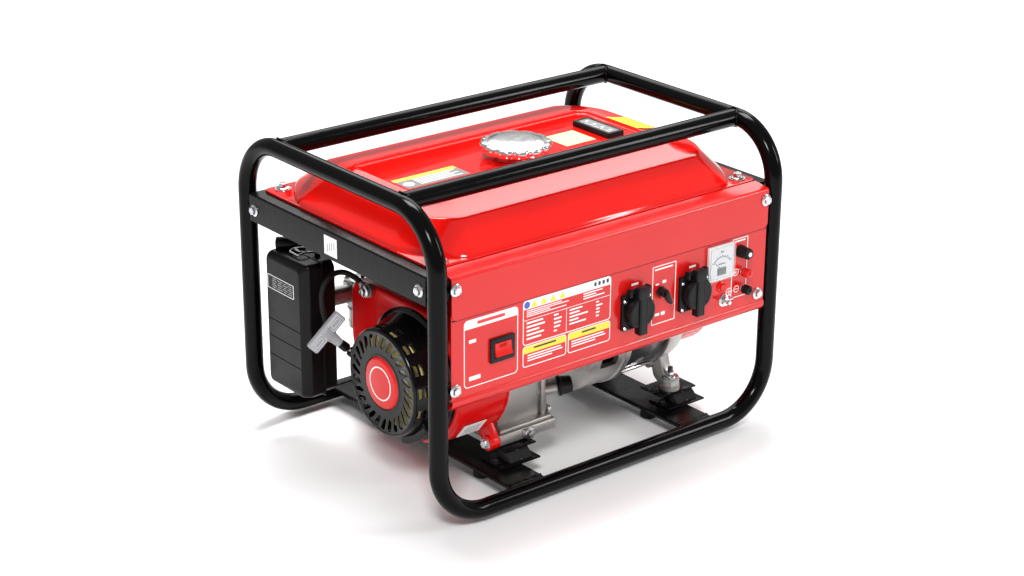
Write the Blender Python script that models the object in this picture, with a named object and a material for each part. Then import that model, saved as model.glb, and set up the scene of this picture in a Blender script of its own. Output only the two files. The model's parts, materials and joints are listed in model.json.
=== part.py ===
"""Portable petrol generator: open tube frame, fuel tank, control panel, engine, recoil starter, alternator.

Metres, +Z up. X runs along the crankshaft, with the starter at -X and the alternator at +X.
The control panel faces -Y. The part stands on its rubber feet at Z = 0.
"""

import math

import bmesh
import bpy
from mathutils import Matrix, Vector

# ---------------------------------------------------------------- driving dimensions
GAP = 0.0003                     # clearance between touching pieces
SHEET = 0.0015                   # panel sheet thickness
PLATE = 0.002                    # frame plate thickness

FOOT_DROP = 0.004                # feet reach this far below the tubes
TUBE_R = 0.0125
FRAME_X = 0.2875                 # tube centre lines
FRAME_Y = 0.211
RAIL_Z = FOOT_DROP + TUBE_R
TOP_Z = RAIL_Z + 0.410
BEND_R = 0.076
TOP_RAIL_Y = 0.135

MEMBER_WIDTH = 0.057
MEMBER_X = (-0.1385, 0.1625)
MEMBER_TOP = 0.0285
FOOT_R = 0.012
FOOT_Y = 0.110

PANEL_Y = -0.2175                # front face of the control panel
PANEL_X = 0.2715
PANEL_TOP = 0.300
PANEL_LOW = 0.170
PANEL_CURL = 0.011
BAND_LOW = 0.292
BAND_FOLD = 0.3455
BAND_BACK_Y = -0.1925
BAND_BACK_Z = 0.3525
TAB_BOLT_X = 0.266
TAB_BOLT_Z = (0.333, 0.198)

END_X = 0.2945                   # outer face of the end plates
END_Y = 0.1965
END_LOW, END_TOP = 0.311, 0.3497
END_FLANGE_X = 0.238
END_BOLT_Y, END_BOLT_Z = 0.184, 0.3285

TANK_X, TANK_Y = 0.276, 0.190    # half sizes of the tank flange
TANK_SEAM_Z = 0.3500
NECK_R, NECK_BORE = 0.030, 0.026
NECK_TOP = 0.4040
CAP_R, CAP_TOP = 0.049, 0.4200

CRANK_Y, CRANK_Z = -0.061, 0.153
SHAFT_R = 0.0125
CYLINDER_TILT = math.radians(25)
BORE_R = 0.034
RECOIL_FACE_X = -0.266
SHROUD_FRONT_X, SHROUD_BACK_X = -0.213, -0.1305
CASE_LEFT_X, CASE_RIGHT_X = -0.122, -0.040
BASE_LOW_Z = 0.0483
HEAD_START, HEAD_END = 0.150, 0.186      # distances from the crank along the cylinder

MOUNT_MID_Y = -0.052             # the rear mounts mirror the front ones about this plane

STATOR_X = (0.0935, 0.1665)
STATOR_R, STATOR_BORE = 0.080, 0.052
END_COVER_X = 0.262
END_COVER_R = 0.069

CONTROL_Z = 0.2325               # height of the sockets
SOCKET_X = (0.031, 0.134)
SOCKET_HALF = 0.025
WELL_R = 0.0185
LID_HINGE_UP = 0.0300            # from the middle of a socket to its lid's hinge
SWITCH_AT = (-0.1925, 0.2368)
SELECTOR_AT = (0.077, 0.2460)
METER_AT = (0.1835, 0.2625)
FUSE_AT = (0.2225, 0.269)
TERMINAL_RED_AT = (0.228, 0.238)
TERMINAL_BLACK_AT = (0.230, 0.213)
EARTH_AT = (0.194, 0.204)
BREAKER_AT = (0.189, 0.225)
ROCKER_TILT = math.radians(10)   # the rocker at rest leans this far to one side
KNOB_FRONT_Y = -0.2375           # furthest point of the controls

# The whole part moves by this much, so that its box is centred on the origin.
CENTRE_Y = (-KNOB_FRONT_Y - FRAME_Y - TUBE_R) / 2

AIR_Y = (0.087, 0.178)
AIR_Z = (0.080, 0.272)
AIR_FACE_X, AIR_SEAM_X, AIR_BACK_X = -0.285, -0.252, -0.232
CLIP_HALF = 0.0155               # half width of the wire clips
AIR_PORT = (0.125, 0.203)        # inlet, in Y and Z
HEAD_PORT = (0.108, 0.206)       # inlet and outlet of the cylinder head

GUIDE_AT = Vector((-0.245, 0.040, 0.160))
PULL = Vector((-0.66, 0.30, 0.69)).normalized()
GRIP_AXIS = Vector((0.70, -0.135, 0.70)).normalized()
HANDLE_REACH = 0.0425

COLOURS = {
    "black_paint": ((0.012, 0.012, 0.013), 0.22, 0.0),
    "red_paint": ((0.70, 0.012, 0.010), 0.25, 0.0),
    "rubber": ((0.018, 0.018, 0.018), 0.75, 0.0),
    "black_plastic": ((0.022, 0.022, 0.024), 0.45, 0.0),
    "red_plastic": ((0.60, 0.015, 0.012), 0.35, 0.0),
    "grey_plastic": ((0.45, 0.45, 0.47), 0.45, 0.0),
    "cast_aluminium": ((0.42, 0.41, 0.40), 0.45, 0.9),
    "steel": ((0.50, 0.50, 0.50), 0.30, 1.0),
    "chrome": ((0.80, 0.80, 0.80), 0.10, 1.0),
    "zinc_gold": ((0.62, 0.47, 0.18), 0.35, 1.0),
    "copper_core": ((0.08, 0.08, 0.09), 0.35, 0.6),
    "white_plastic": ((0.85, 0.85, 0.85), 0.35, 0.0),
    "rope": ((0.75, 0.74, 0.70), 0.85, 0.0),
    "muffler_steel": ((0.20, 0.19, 0.18), 0.40, 0.8),
}


# ---------------------------------------------------------------- shape tools
def clear_scene():
    for obj in list(bpy.data.objects):
        bpy.data.objects.remove(obj, do_unlink=True)


def material(name):
    found = bpy.data.materials.get(name)
    if found:
        return found
    colour, roughness, metallic = COLOURS[name]
    made = bpy.data.materials.new(name)
    made.use_nodes = True
    shader = made.node_tree.nodes["Principled BSDF"]
    shader.inputs["Base Color"].default_value = (*colour, 1.0)
    shader.inputs["Roughness"].default_value = roughness
    shader.inputs["Metallic"].default_value = metallic
    return made


def slab(low, high, bevel=0.0, segments=2):
    """A box between two corners, with its edges rounded by bevel."""
    shape = bmesh.new()
    bmesh.ops.create_cube(shape, size=1.0)
    size = [b - a for a, b in zip(low, high)]
    middle = [(a + b) / 2 for a, b in zip(low, high)]
    bmesh.ops.scale(shape, vec=size, verts=shape.verts)
    bmesh.ops.translate(shape, vec=middle, verts=shape.verts)
    if bevel:
        bmesh.ops.bevel(shape, geom=shape.edges, offset=bevel, segments=segments, affect="EDGES",
                        profile=0.5)
    return shape


def rod(start, end, radius, sides=20, end_radius=None):
    """A cylinder, or a cone, between two points."""
    start, end = Vector(start), Vector(end)
    run = end - start
    shape = bmesh.new()
    tip = radius if end_radius is None else end_radius
    bmesh.ops.create_cone(shape, cap_ends=True, segments=sides, radius1=radius, radius2=tip,
                          depth=run.length)
    turn = Vector((0, 0, 1)).rotation_difference(run).to_matrix().to_4x4()
    place = Matrix.Translation((start + end) / 2) @ turn
    bmesh.ops.transform(shape, matrix=place, verts=shape.verts)
    return shape


def turned(profile, centre, axis="X", sides=32):
    """A turned solid. The profile holds (distance along the axis, radius) points and closes on itself,
    unless both its ends lie on the axis. centre gives the other two coordinates, in X, Y, Z order."""
    shape = bmesh.new()

    def point(along, radius, angle):
        a, b = radius * math.cos(angle), radius * math.sin(angle)
        if axis == "X":
            return (along, centre[0] + a, centre[1] + b)
        if axis == "Y":
            return (centre[0] + b, along, centre[1] + a)
        return (centre[0] + a, centre[1] + b, along)

    rings = []
    for along, radius in profile:
        count = sides if radius > 1e-9 else 1
        rings.append([shape.verts.new(point(along, radius, 2 * math.pi * i / sides)) for i in range(count)])
    pairs = list(zip(rings, rings[1:]))
    if len(rings[0]) > 1 or len(rings[-1]) > 1:
        pairs.append((rings[-1], rings[0]))
    for first, second in pairs:
        for i in range(sides):
            j = (i + 1) % sides
            corners = [first[i % len(first)], first[j % len(first)],
                       second[j % len(second)], second[i % len(second)]]
            kept = list(dict.fromkeys(corners))
            if len(kept) > 2:
                shape.faces.new(kept)
    bmesh.ops.recalc_face_normals(shape, faces=shape.faces)
    return shape


def prism(outline, axis, low, high):
    """An outline pushed along an axis. The outline's two coordinates are the other two, in X, Y, Z order."""
    spot = "XYZ".index(axis)
    shape = bmesh.new()
    layers = []
    for level in (low, high):
        ring = []
        for u, v in outline:
            place = [u, v]
            place.insert(spot, level)
            ring.append(shape.verts.new(place))
        layers.append(ring)
    shape.faces.new(layers[0])
    shape.faces.new(layers[1])
    for i in range(len(outline)):
        j = (i + 1) % len(outline)
        shape.faces.new((layers[0][i], layers[0][j], layers[1][j], layers[1][i]))
    bmesh.ops.recalc_face_normals(shape, faces=shape.faces)
    return shape


def arc(centre, radius, start, end, steps):
    """Points along an arc, with its angles in degrees."""
    points = []
    for i in range(steps + 1):
        angle = math.radians(start + (end - start) * i / steps)
        points.append((centre[0] + radius * math.cos(angle), centre[1] + radius * math.sin(angle)))
    return points


def rounded_rectangle(low, high, radius, steps=4):
    (x0, y0), (x1, y1) = low, high
    corners = ((x1 - radius, y1 - radius, 0), (x0 + radius, y1 - radius, 90),
               (x0 + radius, y0 + radius, 180), (x1 - radius, y0 + radius, 270))
    points = []
    for x, y, start in corners:
        points += arc((x, y), radius, start, start + 90, steps)
    return points


def thickened(line, thickness):
    """The closed outline of a folded sheet: its outer line, and the same line moved to the left."""
    points = [Vector(p) for p in line]
    inner = []
    for i, p in enumerate(points):
        before = (p - points[i - 1]).normalized() if i else (points[1] - p).normalized()
        after = (points[i + 1] - p).normalized() if i + 1 < len(points) else before
        mean = (before + after).normalized()
        normal = Vector((-mean.y, mean.x))
        inner.append(p + normal * (thickness / max(0.3, normal.dot(Vector((-before.y, before.x))))))
    return [tuple(p) for p in points] + [tuple(p) for p in reversed(inner)]


def filleted(corners, radius, steps):
    """A path through corner points, with an arc of the given radius at each inner corner."""
    path = [Vector(corners[0])]
    for before, corner, after in zip(corners, corners[1:], corners[2:]):
        corner = Vector(corner)
        back, on = (Vector(before) - corner).normalized(), (Vector(after) - corner).normalized()
        half = back.angle(on) / 2
        centre = corner + (back + on).normalized() * (radius / math.sin(half))
        first = corner + back * (radius / math.tan(half)) - centre
        last = corner + on * (radius / math.tan(half)) - centre
        for i in range(steps + 1):
            path.append(centre + first.normalized().slerp(last.normalized(), i / steps) * radius)
    path.append(Vector(corners[-1]))
    return path


def swept(path, radius, sides=14):
    """A round tube with closed ends along a path."""
    shape = bmesh.new()
    rings = []
    across = None
    for i, p in enumerate(path):
        ahead = path[min(i + 1, len(path) - 1)] - path[max(i - 1, 0)]
        ahead.normalize()
        if across is None:
            across = ahead.orthogonal().normalized()
        across = (across - ahead * across.dot(ahead)).normalized()
        side = ahead.cross(across)
        stretch = 1.0
        if 0 < i < len(path) - 1:
            stretch = 1.0 / max(0.5, ahead.dot((path[i + 1] - p).normalized()))
        ring = []
        for k in range(sides):
            angle = 2 * math.pi * k / sides
            offset = across * math.cos(angle) + side * math.sin(angle)
            ring.append(shape.verts.new(p + offset * radius * (1 + (stretch - 1) * 0.5)))
        rings.append(ring)
    for first, second in zip(rings, rings[1:]):
        for k in range(sides):
            m = (k + 1) % sides
            shape.faces.new((first[k], first[m], second[m], second[k]))
    shape.faces.new(rings[0])
    shape.faces.new(rings[-1])
    bmesh.ops.recalc_face_normals(shape, faces=shape.faces)
    return shape


def lofted(rings):
    """A solid through rings of equal point counts, closed at its first and last ring."""
    shape = bmesh.new()
    layers = [[shape.verts.new(p) for p in ring] for ring in rings]
    for first, second in zip(layers, layers[1:]):
        for k in range(len(first)):
            m = (k + 1) % len(first)
            shape.faces.new((first[k], first[m], second[m], second[k]))
    shape.faces.new(layers[0])
    shape.faces.new(layers[-1])
    bmesh.ops.recalc_face_normals(shape, faces=shape.faces)
    return shape


def as_object(name, shape):
    mesh = bpy.data.meshes.new(name)
    shape.to_mesh(mesh)
    shape.free()
    obj = bpy.data.objects.new(name, mesh)
    bpy.context.scene.collection.objects.link(obj)
    return obj


def combined(shape, adds=(), cuts=()):
    """A shape joined with the adds, and then cut by the cuts."""
    base = as_object("base", shape)
    tools = []
    for operation, shapes in (("UNION", adds), ("DIFFERENCE", cuts)):
        for tool_shape in shapes:
            tool = as_object("tool", tool_shape)
            step = base.modifiers.new(operation.lower(), "BOOLEAN")
            step.operation = operation
            step.solver = "EXACT"
            step.object = tool
            tools.append(tool)
    bpy.context.view_layer.update()
    graph = bpy.context.evaluated_depsgraph_get()
    mesh = bpy.data.meshes.new_from_object(base.evaluated_get(graph))
    result = bmesh.new()
    result.from_mesh(mesh)
    for obj in [base, *tools]:
        bpy.data.objects.remove(obj, do_unlink=True)
    bpy.data.meshes.remove(mesh)
    bmesh.ops.remove_doubles(result, verts=result.verts, dist=1e-6)
    bmesh.ops.dissolve_degenerate(result, edges=result.edges, dist=1e-6)
    return result


def piece(name, finish, shape, pivot=(0, 0, 0)):
    """One named sub-part. Its origin is at pivot, which lies on the joint's axis where the piece moves."""
    bmesh.ops.translate(shape, vec=-Vector(pivot), verts=shape.verts)
    obj = as_object(name, shape)
    obj.location = pivot
    obj.parent = bpy.data.objects["generator"]
    obj.data.shade_smooth()
    obj.data.set_sharp_from_angle(angle=math.radians(35))
    obj.data.materials.append(material(finish))
    return obj


def mirrored(shape, spot, plane=0.0):
    """The same shape on the other side of a plane across the axis numbered spot."""
    for v in shape.verts:
        v.co[spot] = 2 * plane - v.co[spot]
    bmesh.ops.reverse_faces(shape, faces=shape.faces)
    return shape


# ---------------------------------------------------------------- frame
def build_frame():
    panel_tab_y = PANEL_Y + SHEET + GAP
    end_tab_x = END_X - PLATE - GAP
    for side, label in ((-1, "left"), (1, "right")):
        start_x = side * GAP / 2
        corners = [(start_x, -FRAME_Y, RAIL_Z), (side * FRAME_X, -FRAME_Y, RAIL_Z),
                   (side * FRAME_X, -FRAME_Y, TOP_Z), (side * FRAME_X, FRAME_Y, TOP_Z),
                   (side * FRAME_X, FRAME_Y, RAIL_Z), (start_x, FRAME_Y, RAIL_Z)]
        tabs = []
        for z in TAB_BOLT_Z:
            xs = sorted((side * (TAB_BOLT_X - 0.009), side * (FRAME_X - 0.009)))
            tabs.append(slab((xs[0], panel_tab_y, z - 0.012), (xs[1], panel_tab_y + 0.0025, z + 0.012)))
        for front in (-1, 1):
            xs = sorted((side * end_tab_x, side * (end_tab_x - 0.0025)))
            ys = sorted((front * (END_BOLT_Y - 0.008), front * (FRAME_Y - 0.008)))
            tabs.append(slab((xs[0], ys[0], END_BOLT_Z - 0.012), (xs[1], ys[1], END_BOLT_Z + 0.012)))
        tube = swept(filleted(corners, BEND_R, 6), TUBE_R)
        piece(f"hoop_{label}", "black_paint", combined(tube, adds=tabs))

    for y, label in ((-TOP_RAIL_Y, "front"), (TOP_RAIL_Y, "rear")):
        notches = [rod((x, y - 0.03, TOP_Z), (x, y + 0.03, TOP_Z), TUBE_R + 3 * GAP, 28)
                   for x in (-FRAME_X, FRAME_X)]
        rail = rod((-FRAME_X, y, TOP_Z), (FRAME_X, y, TOP_Z), TUBE_R, 16)
        piece(f"top_rail_{label}", "black_paint", combined(rail, cuts=notches))

    half = MEMBER_WIDTH / 2
    for x, label in zip(MEMBER_X, ("left", "right")):
        low, top = MEMBER_TOP - 0.005, MEMBER_TOP
        line = [(x - half, low), (x - half, top - 0.0015), (x - half + 0.0015, top),
                (x + half - 0.0015, top), (x + half, top - 0.0015), (x + half, low)]
        member = prism([(u, v) for u, v in thickened([(-a, b) for a, b in line], PLATE)], "Y", -0.1, 0.1)
        member = mirrored(member, 0)
        for v in member.verts:
            v.co.y = math.copysign(FRAME_Y, v.co.y)
        rails = [rod((x - 0.05, y, RAIL_Z), (x + 0.05, y, RAIL_Z), TUBE_R + GAP, 28)
                 for y in (-FRAME_Y, FRAME_Y)]
        piece(f"cross_member_{label}", "black_paint", combined(member, cuts=rails))
        for y, end in ((-FOOT_Y, "front"), (FOOT_Y, "rear")):
            top_z = MEMBER_TOP - PLATE - GAP
            profile = [(0, 0), (0, FOOT_R - 0.001), (0.001, FOOT_R), (top_z, FOOT_R - 0.0025), (top_z, 0)]
            piece(f"foot_{end}_{label}", "rubber", turned(profile, (x, y), "Z", 16))


def build_end_plates():
    for side, label in ((-1, "left"), (1, "right")):
        line = [(-END_X, END_LOW), (-END_X, END_TOP - 0.002), (-END_X + 0.002, END_TOP),
                (-END_FLANGE_X, END_TOP)]
        outline = thickened([(-u, v) for u, v in line], PLATE)
        plate = prism(outline, "Y", -END_Y, END_Y)
        if side < 0:
            plate = mirrored(plate, 0)
        piece(f"end_plate_{label}", "black_paint", plate)


def build_mounts():
    """Bonded rubber mounts: a steel plate above and below a leaning rubber block."""
    low = MEMBER_TOP + GAP
    rubber_low, rubber_top, top = low + 0.0025, low + 0.0167, low + 0.0192
    for label, plate_x, rubber_x, upper_x in (("left", (-0.146, -0.080), (-0.128, -0.090), (-0.130, -0.078)),
                                              ("right", (0.155, 0.221), (0.173, 0.211), (0.149, 0.215))):
        for end in ("front", "rear"):
            lower = slab((plate_x[0], -0.162, low), (plate_x[1], -0.118, rubber_low))
            upper = slab((upper_x[0], -0.150, rubber_top), (upper_x[1], -0.106, top))
            block = prism([(-0.158, rubber_low - 0.0002), (-0.128, rubber_low - 0.0002),
                           (-0.114, rubber_top + 0.0002), (-0.144, rubber_top + 0.0002)], "X", *rubber_x)
            mount = combined(lower, adds=[block, upper])
            if end == "rear":
                mount = mirrored(mount, 1, MOUNT_MID_Y)
            piece(f"rubber_mount_{end}_{label}", "rubber", mount)


# ---------------------------------------------------------------- tank
def tank_ring(half_x, half_y, corner_x, corner_y, power, z, steps=6):
    """A rectangle whose corners are cut by a curve: power 1 is straight, power 2 an ellipse."""
    points = []
    for sx, sy, flip in ((1, 1, False), (-1, 1, True), (-1, -1, False), (1, -1, True)):
        corner = []
        for i in range(steps + 1):
            angle = math.pi / 2 * i / steps
            u = math.cos(angle) ** (2 / power)
            v = math.sin(angle) ** (2 / power)
            corner.append((sx * (half_x - corner_x + corner_x * u),
                           sy * (half_y - corner_y + corner_y * v), z))
        points += reversed(corner) if flip else corner
    return points


def tank_levels(inset):
    """Rings of the tank's upper half, moved inwards by inset."""
    levels = [(0.2745, 0.1875, 0.054, 0.083, 1.25, 0.3520), (0.2735, 0.1860, 0.054, 0.082, 1.25, 0.3590),
              (0.2620, 0.1680, 0.052, 0.074, 1.40, 0.3770), (0.2470, 0.1530, 0.050, 0.068, 1.60, 0.3885),
              (0.2360, 0.1420, 0.048, 0.062, 1.80, 0.3935), (0.2150, 0.1180, 0.040, 0.046, 2.00, 0.3970),
              (0.2030, 0.0930, 0.020, 0.020, 2.00, 0.3985)]
    rings = []
    for half_x, half_y, corner_x, corner_y, power, z in levels:
        lift = 0.003 if inset and z < 0.353 else inset
        rings.append(tank_ring(half_x - inset, half_y - inset, corner_x, corner_y, power, z - lift))
    return rings


def build_tank():
    flange_low = TANK_SEAM_Z + SHEET + GAP
    flange = prism(rounded_rectangle((-TANK_X, -TANK_Y), (TANK_X, TANK_Y), 0.008, 3), "Z", flange_low,
                   flange_low + SHEET)
    recess = slab((-0.198, -0.088, 0.3945), (0.198, 0.088, 0.41))
    neck = rod((0, -0.008, 0.390), (0, -0.008, NECK_TOP), NECK_R, 24)
    bore = rod((0, -0.008, 0.36), (0, -0.008, 0.42), NECK_BORE, 24)
    outer = combined(lofted(tank_levels(0.0)), cuts=[recess])
    inner_rings = tank_levels(0.0025)
    inner_rings[-1] = [(x, y, 0.3965 - 0.0045) for x, y, _ in inner_rings[-1]]
    inner_rings[-2] = [(x, y, 0.3920 - 0.0010) for x, y, _ in inner_rings[-2]]
    inner_rings[-3] = [(x, y, 0.3895) for x, y, _ in inner_rings[-3]]
    shell = combined(outer, adds=[flange, neck], cuts=[lofted(inner_rings), bore])
    piece("tank_upper", "red_paint", shell)

    low = TANK_SEAM_Z
    plate = prism(rounded_rectangle((-TANK_X, -TANK_Y), (TANK_X, TANK_Y), 0.008, 3), "Z", low, low + SHEET)
    outer_levels = ((0.234, 0.178, low + 0.0005), (0.228, 0.172, 0.330), (0.205, 0.150, 0.309))
    inner_levels = ((0.232, 0.176, low + 0.01), (0.226, 0.170, 0.3305), (0.203, 0.148, 0.311))
    outside = lofted([tank_ring(x, y, 0.03, 0.03, 2, z, 4) for x, y, z in outer_levels])
    inside = lofted([tank_ring(x, y, 0.03, 0.03, 2, z, 4) for x, y, z in inner_levels])
    tap_x, tap_y = -0.185, 0.060
    tap = rod((tap_x, tap_y, 0.285), (tap_x, tap_y, 0.3100), 0.009, 6)
    spout = rod((tap_x, tap_y, 0.292), (tap_x, tap_y + 0.028, 0.286), 0.004, 12)
    bowl = rod((tap_x, tap_y, 0.268), (tap_x, tap_y, 0.286), 0.011, 16)
    piece("tank_lower", "black_paint", combined(plate, adds=[outside, tap, spout, bowl], cuts=[inside]))
    face_x = tap_x - 0.011 - GAP
    hub = rod((face_x, tap_y, 0.278), (face_x - 0.006, tap_y, 0.278), 0.007, 16)
    lever = slab((face_x - 0.006, tap_y - 0.026, 0.2745), (face_x - 0.002, tap_y, 0.2815))
    piece("fuel_tap_lever", "red_plastic", combined(hub, adds=[lever]), (face_x, tap_y, 0.278))

    bumps, lobes = 72, 12
    rim = []
    for k in range(bumps):
        angle = 2 * math.pi * k / bumps
        radius = CAP_R - 0.0022 * (0.5 - 0.5 * math.cos(lobes * angle)) ** 2
        rim.append((radius * math.cos(angle), -0.008 + radius * math.sin(angle)))
    low = NECK_TOP + GAP
    skirt = prism(rim, "Z", low, CAP_TOP - 0.003)
    dome = turned([(CAP_TOP - 0.0035, 0), (CAP_TOP - 0.0035, 0.044),
                   (CAP_TOP - 0.001, 0.042), (CAP_TOP, 0.030),
                   (CAP_TOP, 0)], (0, -0.008), "Z", 36)
    piece("fuel_cap", "chrome", combined(skirt, adds=[dome]), (0, -0.008, low))
    low = 0.3945 + GAP
    gauge = slab((0.147, -0.026, low), (0.172, 0.060, low + 0.0115), 0.0015, 1)
    piece("fuel_gauge", "black_plastic", gauge)


# ---------------------------------------------------------------- control panel
def panel_hole(at, radius):
    return rod((at[0], PANEL_Y - 0.01, at[1]), (at[0], PANEL_Y + 0.01, at[1]), radius, 20)


def panel_window(at, half_x, half_z):
    return slab((at[0] - half_x, PANEL_Y - 0.01, at[1] - half_z),
                (at[0] + half_x, PANEL_Y + 0.01, at[1] + half_z))


def build_panel():
    curl = arc((PANEL_Y + PANEL_CURL, PANEL_LOW + PANEL_CURL), PANEL_CURL, 180, 270, 4)
    line = [(PANEL_Y, PANEL_TOP), *curl, (PANEL_Y + 0.022, PANEL_LOW)]
    sheet = prism(thickened(line, SHEET), "X", -PANEL_X, PANEL_X)
    holes = [panel_window((x, CONTROL_Z), 0.0212, 0.0212) for x in SOCKET_X]
    holes += [panel_hole(at, radius) for at, radius in (
        (SELECTOR_AT, 0.0055), (FUSE_AT, 0.0065), (TERMINAL_RED_AT, 0.004), (TERMINAL_BLACK_AT, 0.004),
        (EARTH_AT, 0.004), (BREAKER_AT, 0.006))]
    holes += [panel_window(SWITCH_AT, 0.016, 0.013), panel_window(METER_AT, 0.019, 0.018)]
    piece("control_panel", "red_paint", combined(sheet, cuts=holes))

    front = PANEL_Y - SHEET - GAP
    fold = arc((front + 0.004, BAND_FOLD - 0.0005), 0.004, 180, 100, 3)
    line = [(BAND_BACK_Y, BAND_BACK_Z), *reversed(fold), (front, BAND_LOW)]
    band = prism(thickened(line, SHEET), "X", -PANEL_X, PANEL_X)
    corners = []
    for side in (-1, 1):
        corner = [(side * PANEL_X, BAND_LOW - 0.001), (side * (PANEL_X + 0.001), BAND_LOW - 0.001),
                  (side * (PANEL_X + 0.001), BAND_LOW + 0.009)]
        inside = arc((side * (PANEL_X - 0.008), BAND_LOW + 0.008), 0.008, 0 if side > 0 else 180,
                     -90 if side > 0 else 270, 4)
        outline = corner[1:] + [(side * PANEL_X, BAND_LOW + 0.009), *inside,
                                (side * (PANEL_X - 0.009), BAND_LOW - 0.001)]
        corners.append(prism(outline, "Y", front - 0.002, front + 0.004))
    piece("trim_band", "red_paint", combined(band, cuts=corners))


def build_switch():
    x, z = SWITCH_AT
    front = PANEL_Y - GAP
    frame = slab((x - 0.0195, front - 0.0035, z - 0.0163), (x + 0.0195, front, z + 0.0163), 0.001, 1)
    box = slab((x - 0.0155, front - 0.001, z - 0.0125), (x + 0.0155, front + 0.024, z + 0.0125))
    well = slab((x - 0.0135, front - 0.006, z - 0.0102), (x + 0.0135, front + 0.020, z + 0.0102))
    piece("engine_switch_body", "black_plastic", combined(frame, adds=[box], cuts=[well]))
    pivot_y = front - 0.001
    outline = [(-0.0045, -0.0088), (-0.0028, 0.0), (-0.0045, 0.0088), (0.0010, 0.0088), (0.0060, 0.0030),
               (0.0060, -0.0030), (0.0010, -0.0088)]
    rocker = prism(outline, "X", -0.013, 0.013)
    place = Matrix.Translation((x, pivot_y, z)) @ Matrix.Rotation(-ROCKER_TILT, 4, "X")
    bmesh.ops.transform(rocker, matrix=place, verts=rocker.verts)
    piece("engine_switch_rocker", "red_plastic", rocker, (x, pivot_y, z))


def build_sockets():
    front = PANEL_Y - GAP
    for number, x in enumerate(SOCKET_X, 1):
        z = CONTROL_Z
        plate = slab((x - SOCKET_HALF, front - 0.005, z - SOCKET_HALF),
                     (x + SOCKET_HALF, front, z + SOCKET_HALF), 0.001, 1)
        drum = rod((x, front - 0.002, z), (x, front + 0.026, z), 0.0208, 24)
        ears = [slab((x + side * 0.0155 - 0.0025, front - 0.0125, z + 0.0225),
                     (x + side * 0.0155 + 0.0025, front - 0.004, z + 0.0335)) for side in (-1, 1)]
        well = rod((x, front - 0.008, z), (x, front + 0.013, z), WELL_R, 24)
        pins = [rod((x + side * 0.0095, front, z), (x + side * 0.0095, front + 0.022, z), 0.0027, 10)
                for side in (-1, 1)]
        piece(f"socket_{number}", "black_plastic", combined(plate, adds=[drum, *ears], cuts=[well, *pins]))
        back = front - 0.005 - GAP
        hinge_y, hinge_z = front - 0.0092, z + LID_HINGE_UP
        disc = rod((x, back, z), (x, back - 0.0125, z), 0.0222, 32)
        knuckle = rod((x - 0.0115, hinge_y, hinge_z), (x + 0.0115, hinge_y, hinge_z), 0.0033, 12)
        rib = slab((x - 0.0070, KNOB_FRONT_Y, z - 0.0310), (x + 0.0070, back - 0.003, z + 0.0355), 0.0012, 1)
        piece(f"socket_lid_{number}", "black_plastic", combined(disc, adds=[knuckle, rib]),
              (x, hinge_y, hinge_z))


def knob(name, finish, at, radius, length, stem_radius, sides=20, lever=None):
    """A knob on a stem that passes through the panel, turning about the Y axis."""
    x, z = at
    front = PANEL_Y - GAP
    body = rod((x, front, z), (x, front - length, z), radius, sides, radius * 0.92)
    stem = rod((x, front - 0.001, z), (x, PANEL_Y + 0.012, z), stem_radius, 12)
    adds = [stem] + ([lever] if lever else [])
    piece(name, finish, combined(body, adds=adds), (x, front, z))


def build_controls():
    front = PANEL_Y - GAP
    x, z = SELECTOR_AT
    reach = front - KNOB_FRONT_Y
    lever = prism([(x - 0.0028, z + 0.003), (x - 0.0028, z - 0.005), (x + 0.0055, z - 0.0155),
                   (x + 0.0098, z - 0.0130), (x + 0.0028, z + 0.003)], "Y", front - 0.015, front - 0.007)
    knob("selector_knob", "black_plastic", SELECTOR_AT, 0.0068, 0.011, 0.0045, 20, lever)
    knob("fuse_knob", "black_plastic", FUSE_AT, 0.0090, reach, 0.0061, 18)
    knob("terminal_red", "red_plastic", TERMINAL_RED_AT, 0.0068, 0.0155, 0.0036, 12)
    knob("terminal_black", "black_plastic", TERMINAL_BLACK_AT, 0.0068, 0.0155, 0.0036, 12)
    knob("breaker_button", "red_plastic", BREAKER_AT, 0.0048, 0.0045, 0.0048, 16)
    x, z = EARTH_AT
    nut = rod((x, front, z), (x, front - 0.006, z), 0.0065, 6)
    stud = rod((x, front - 0.012, z), (x, PANEL_Y + 0.014, z), 0.0030, 12)
    piece("earth_stud", "steel", combined(nut, adds=[stud]))
    x, z = METER_AT
    case = slab((x - 0.0228, front - 0.009, z - 0.0245), (x + 0.0228, front, z + 0.0245), 0.0015, 1)
    can = slab((x - 0.0185, front - 0.001, z - 0.0175), (x + 0.0185, front + 0.028, z + 0.0175))
    piece("voltmeter", "white_plastic", combined(case, adds=[can]))


# ---------------------------------------------------------------- engine
def along_cylinder(distance, across=0.0):
    """A point in the Y-Z plane, at a distance from the crank along the leaning cylinder."""
    c, s = math.cos(CYLINDER_TILT), math.sin(CYLINDER_TILT)
    return (CRANK_Y + distance * c - across * s, CRANK_Z + distance * s + across * c)


def cylinder_block(start, end, half_width, x_low, x_high):
    """A block across the cylinder's axis, between two distances from the crank."""
    outline = [along_cylinder(start, -half_width), along_cylinder(end, -half_width),
               along_cylinder(end, half_width), along_cylinder(start, half_width)]
    return prism(outline, "X", x_low, x_high)


def cylinder_bore(start, end, radius, x, sides=24):
    (y0, z0), (y1, z1) = along_cylinder(start), along_cylinder(end)
    return rod((x, y0, z0), (x, y1, z1), radius, sides)


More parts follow.
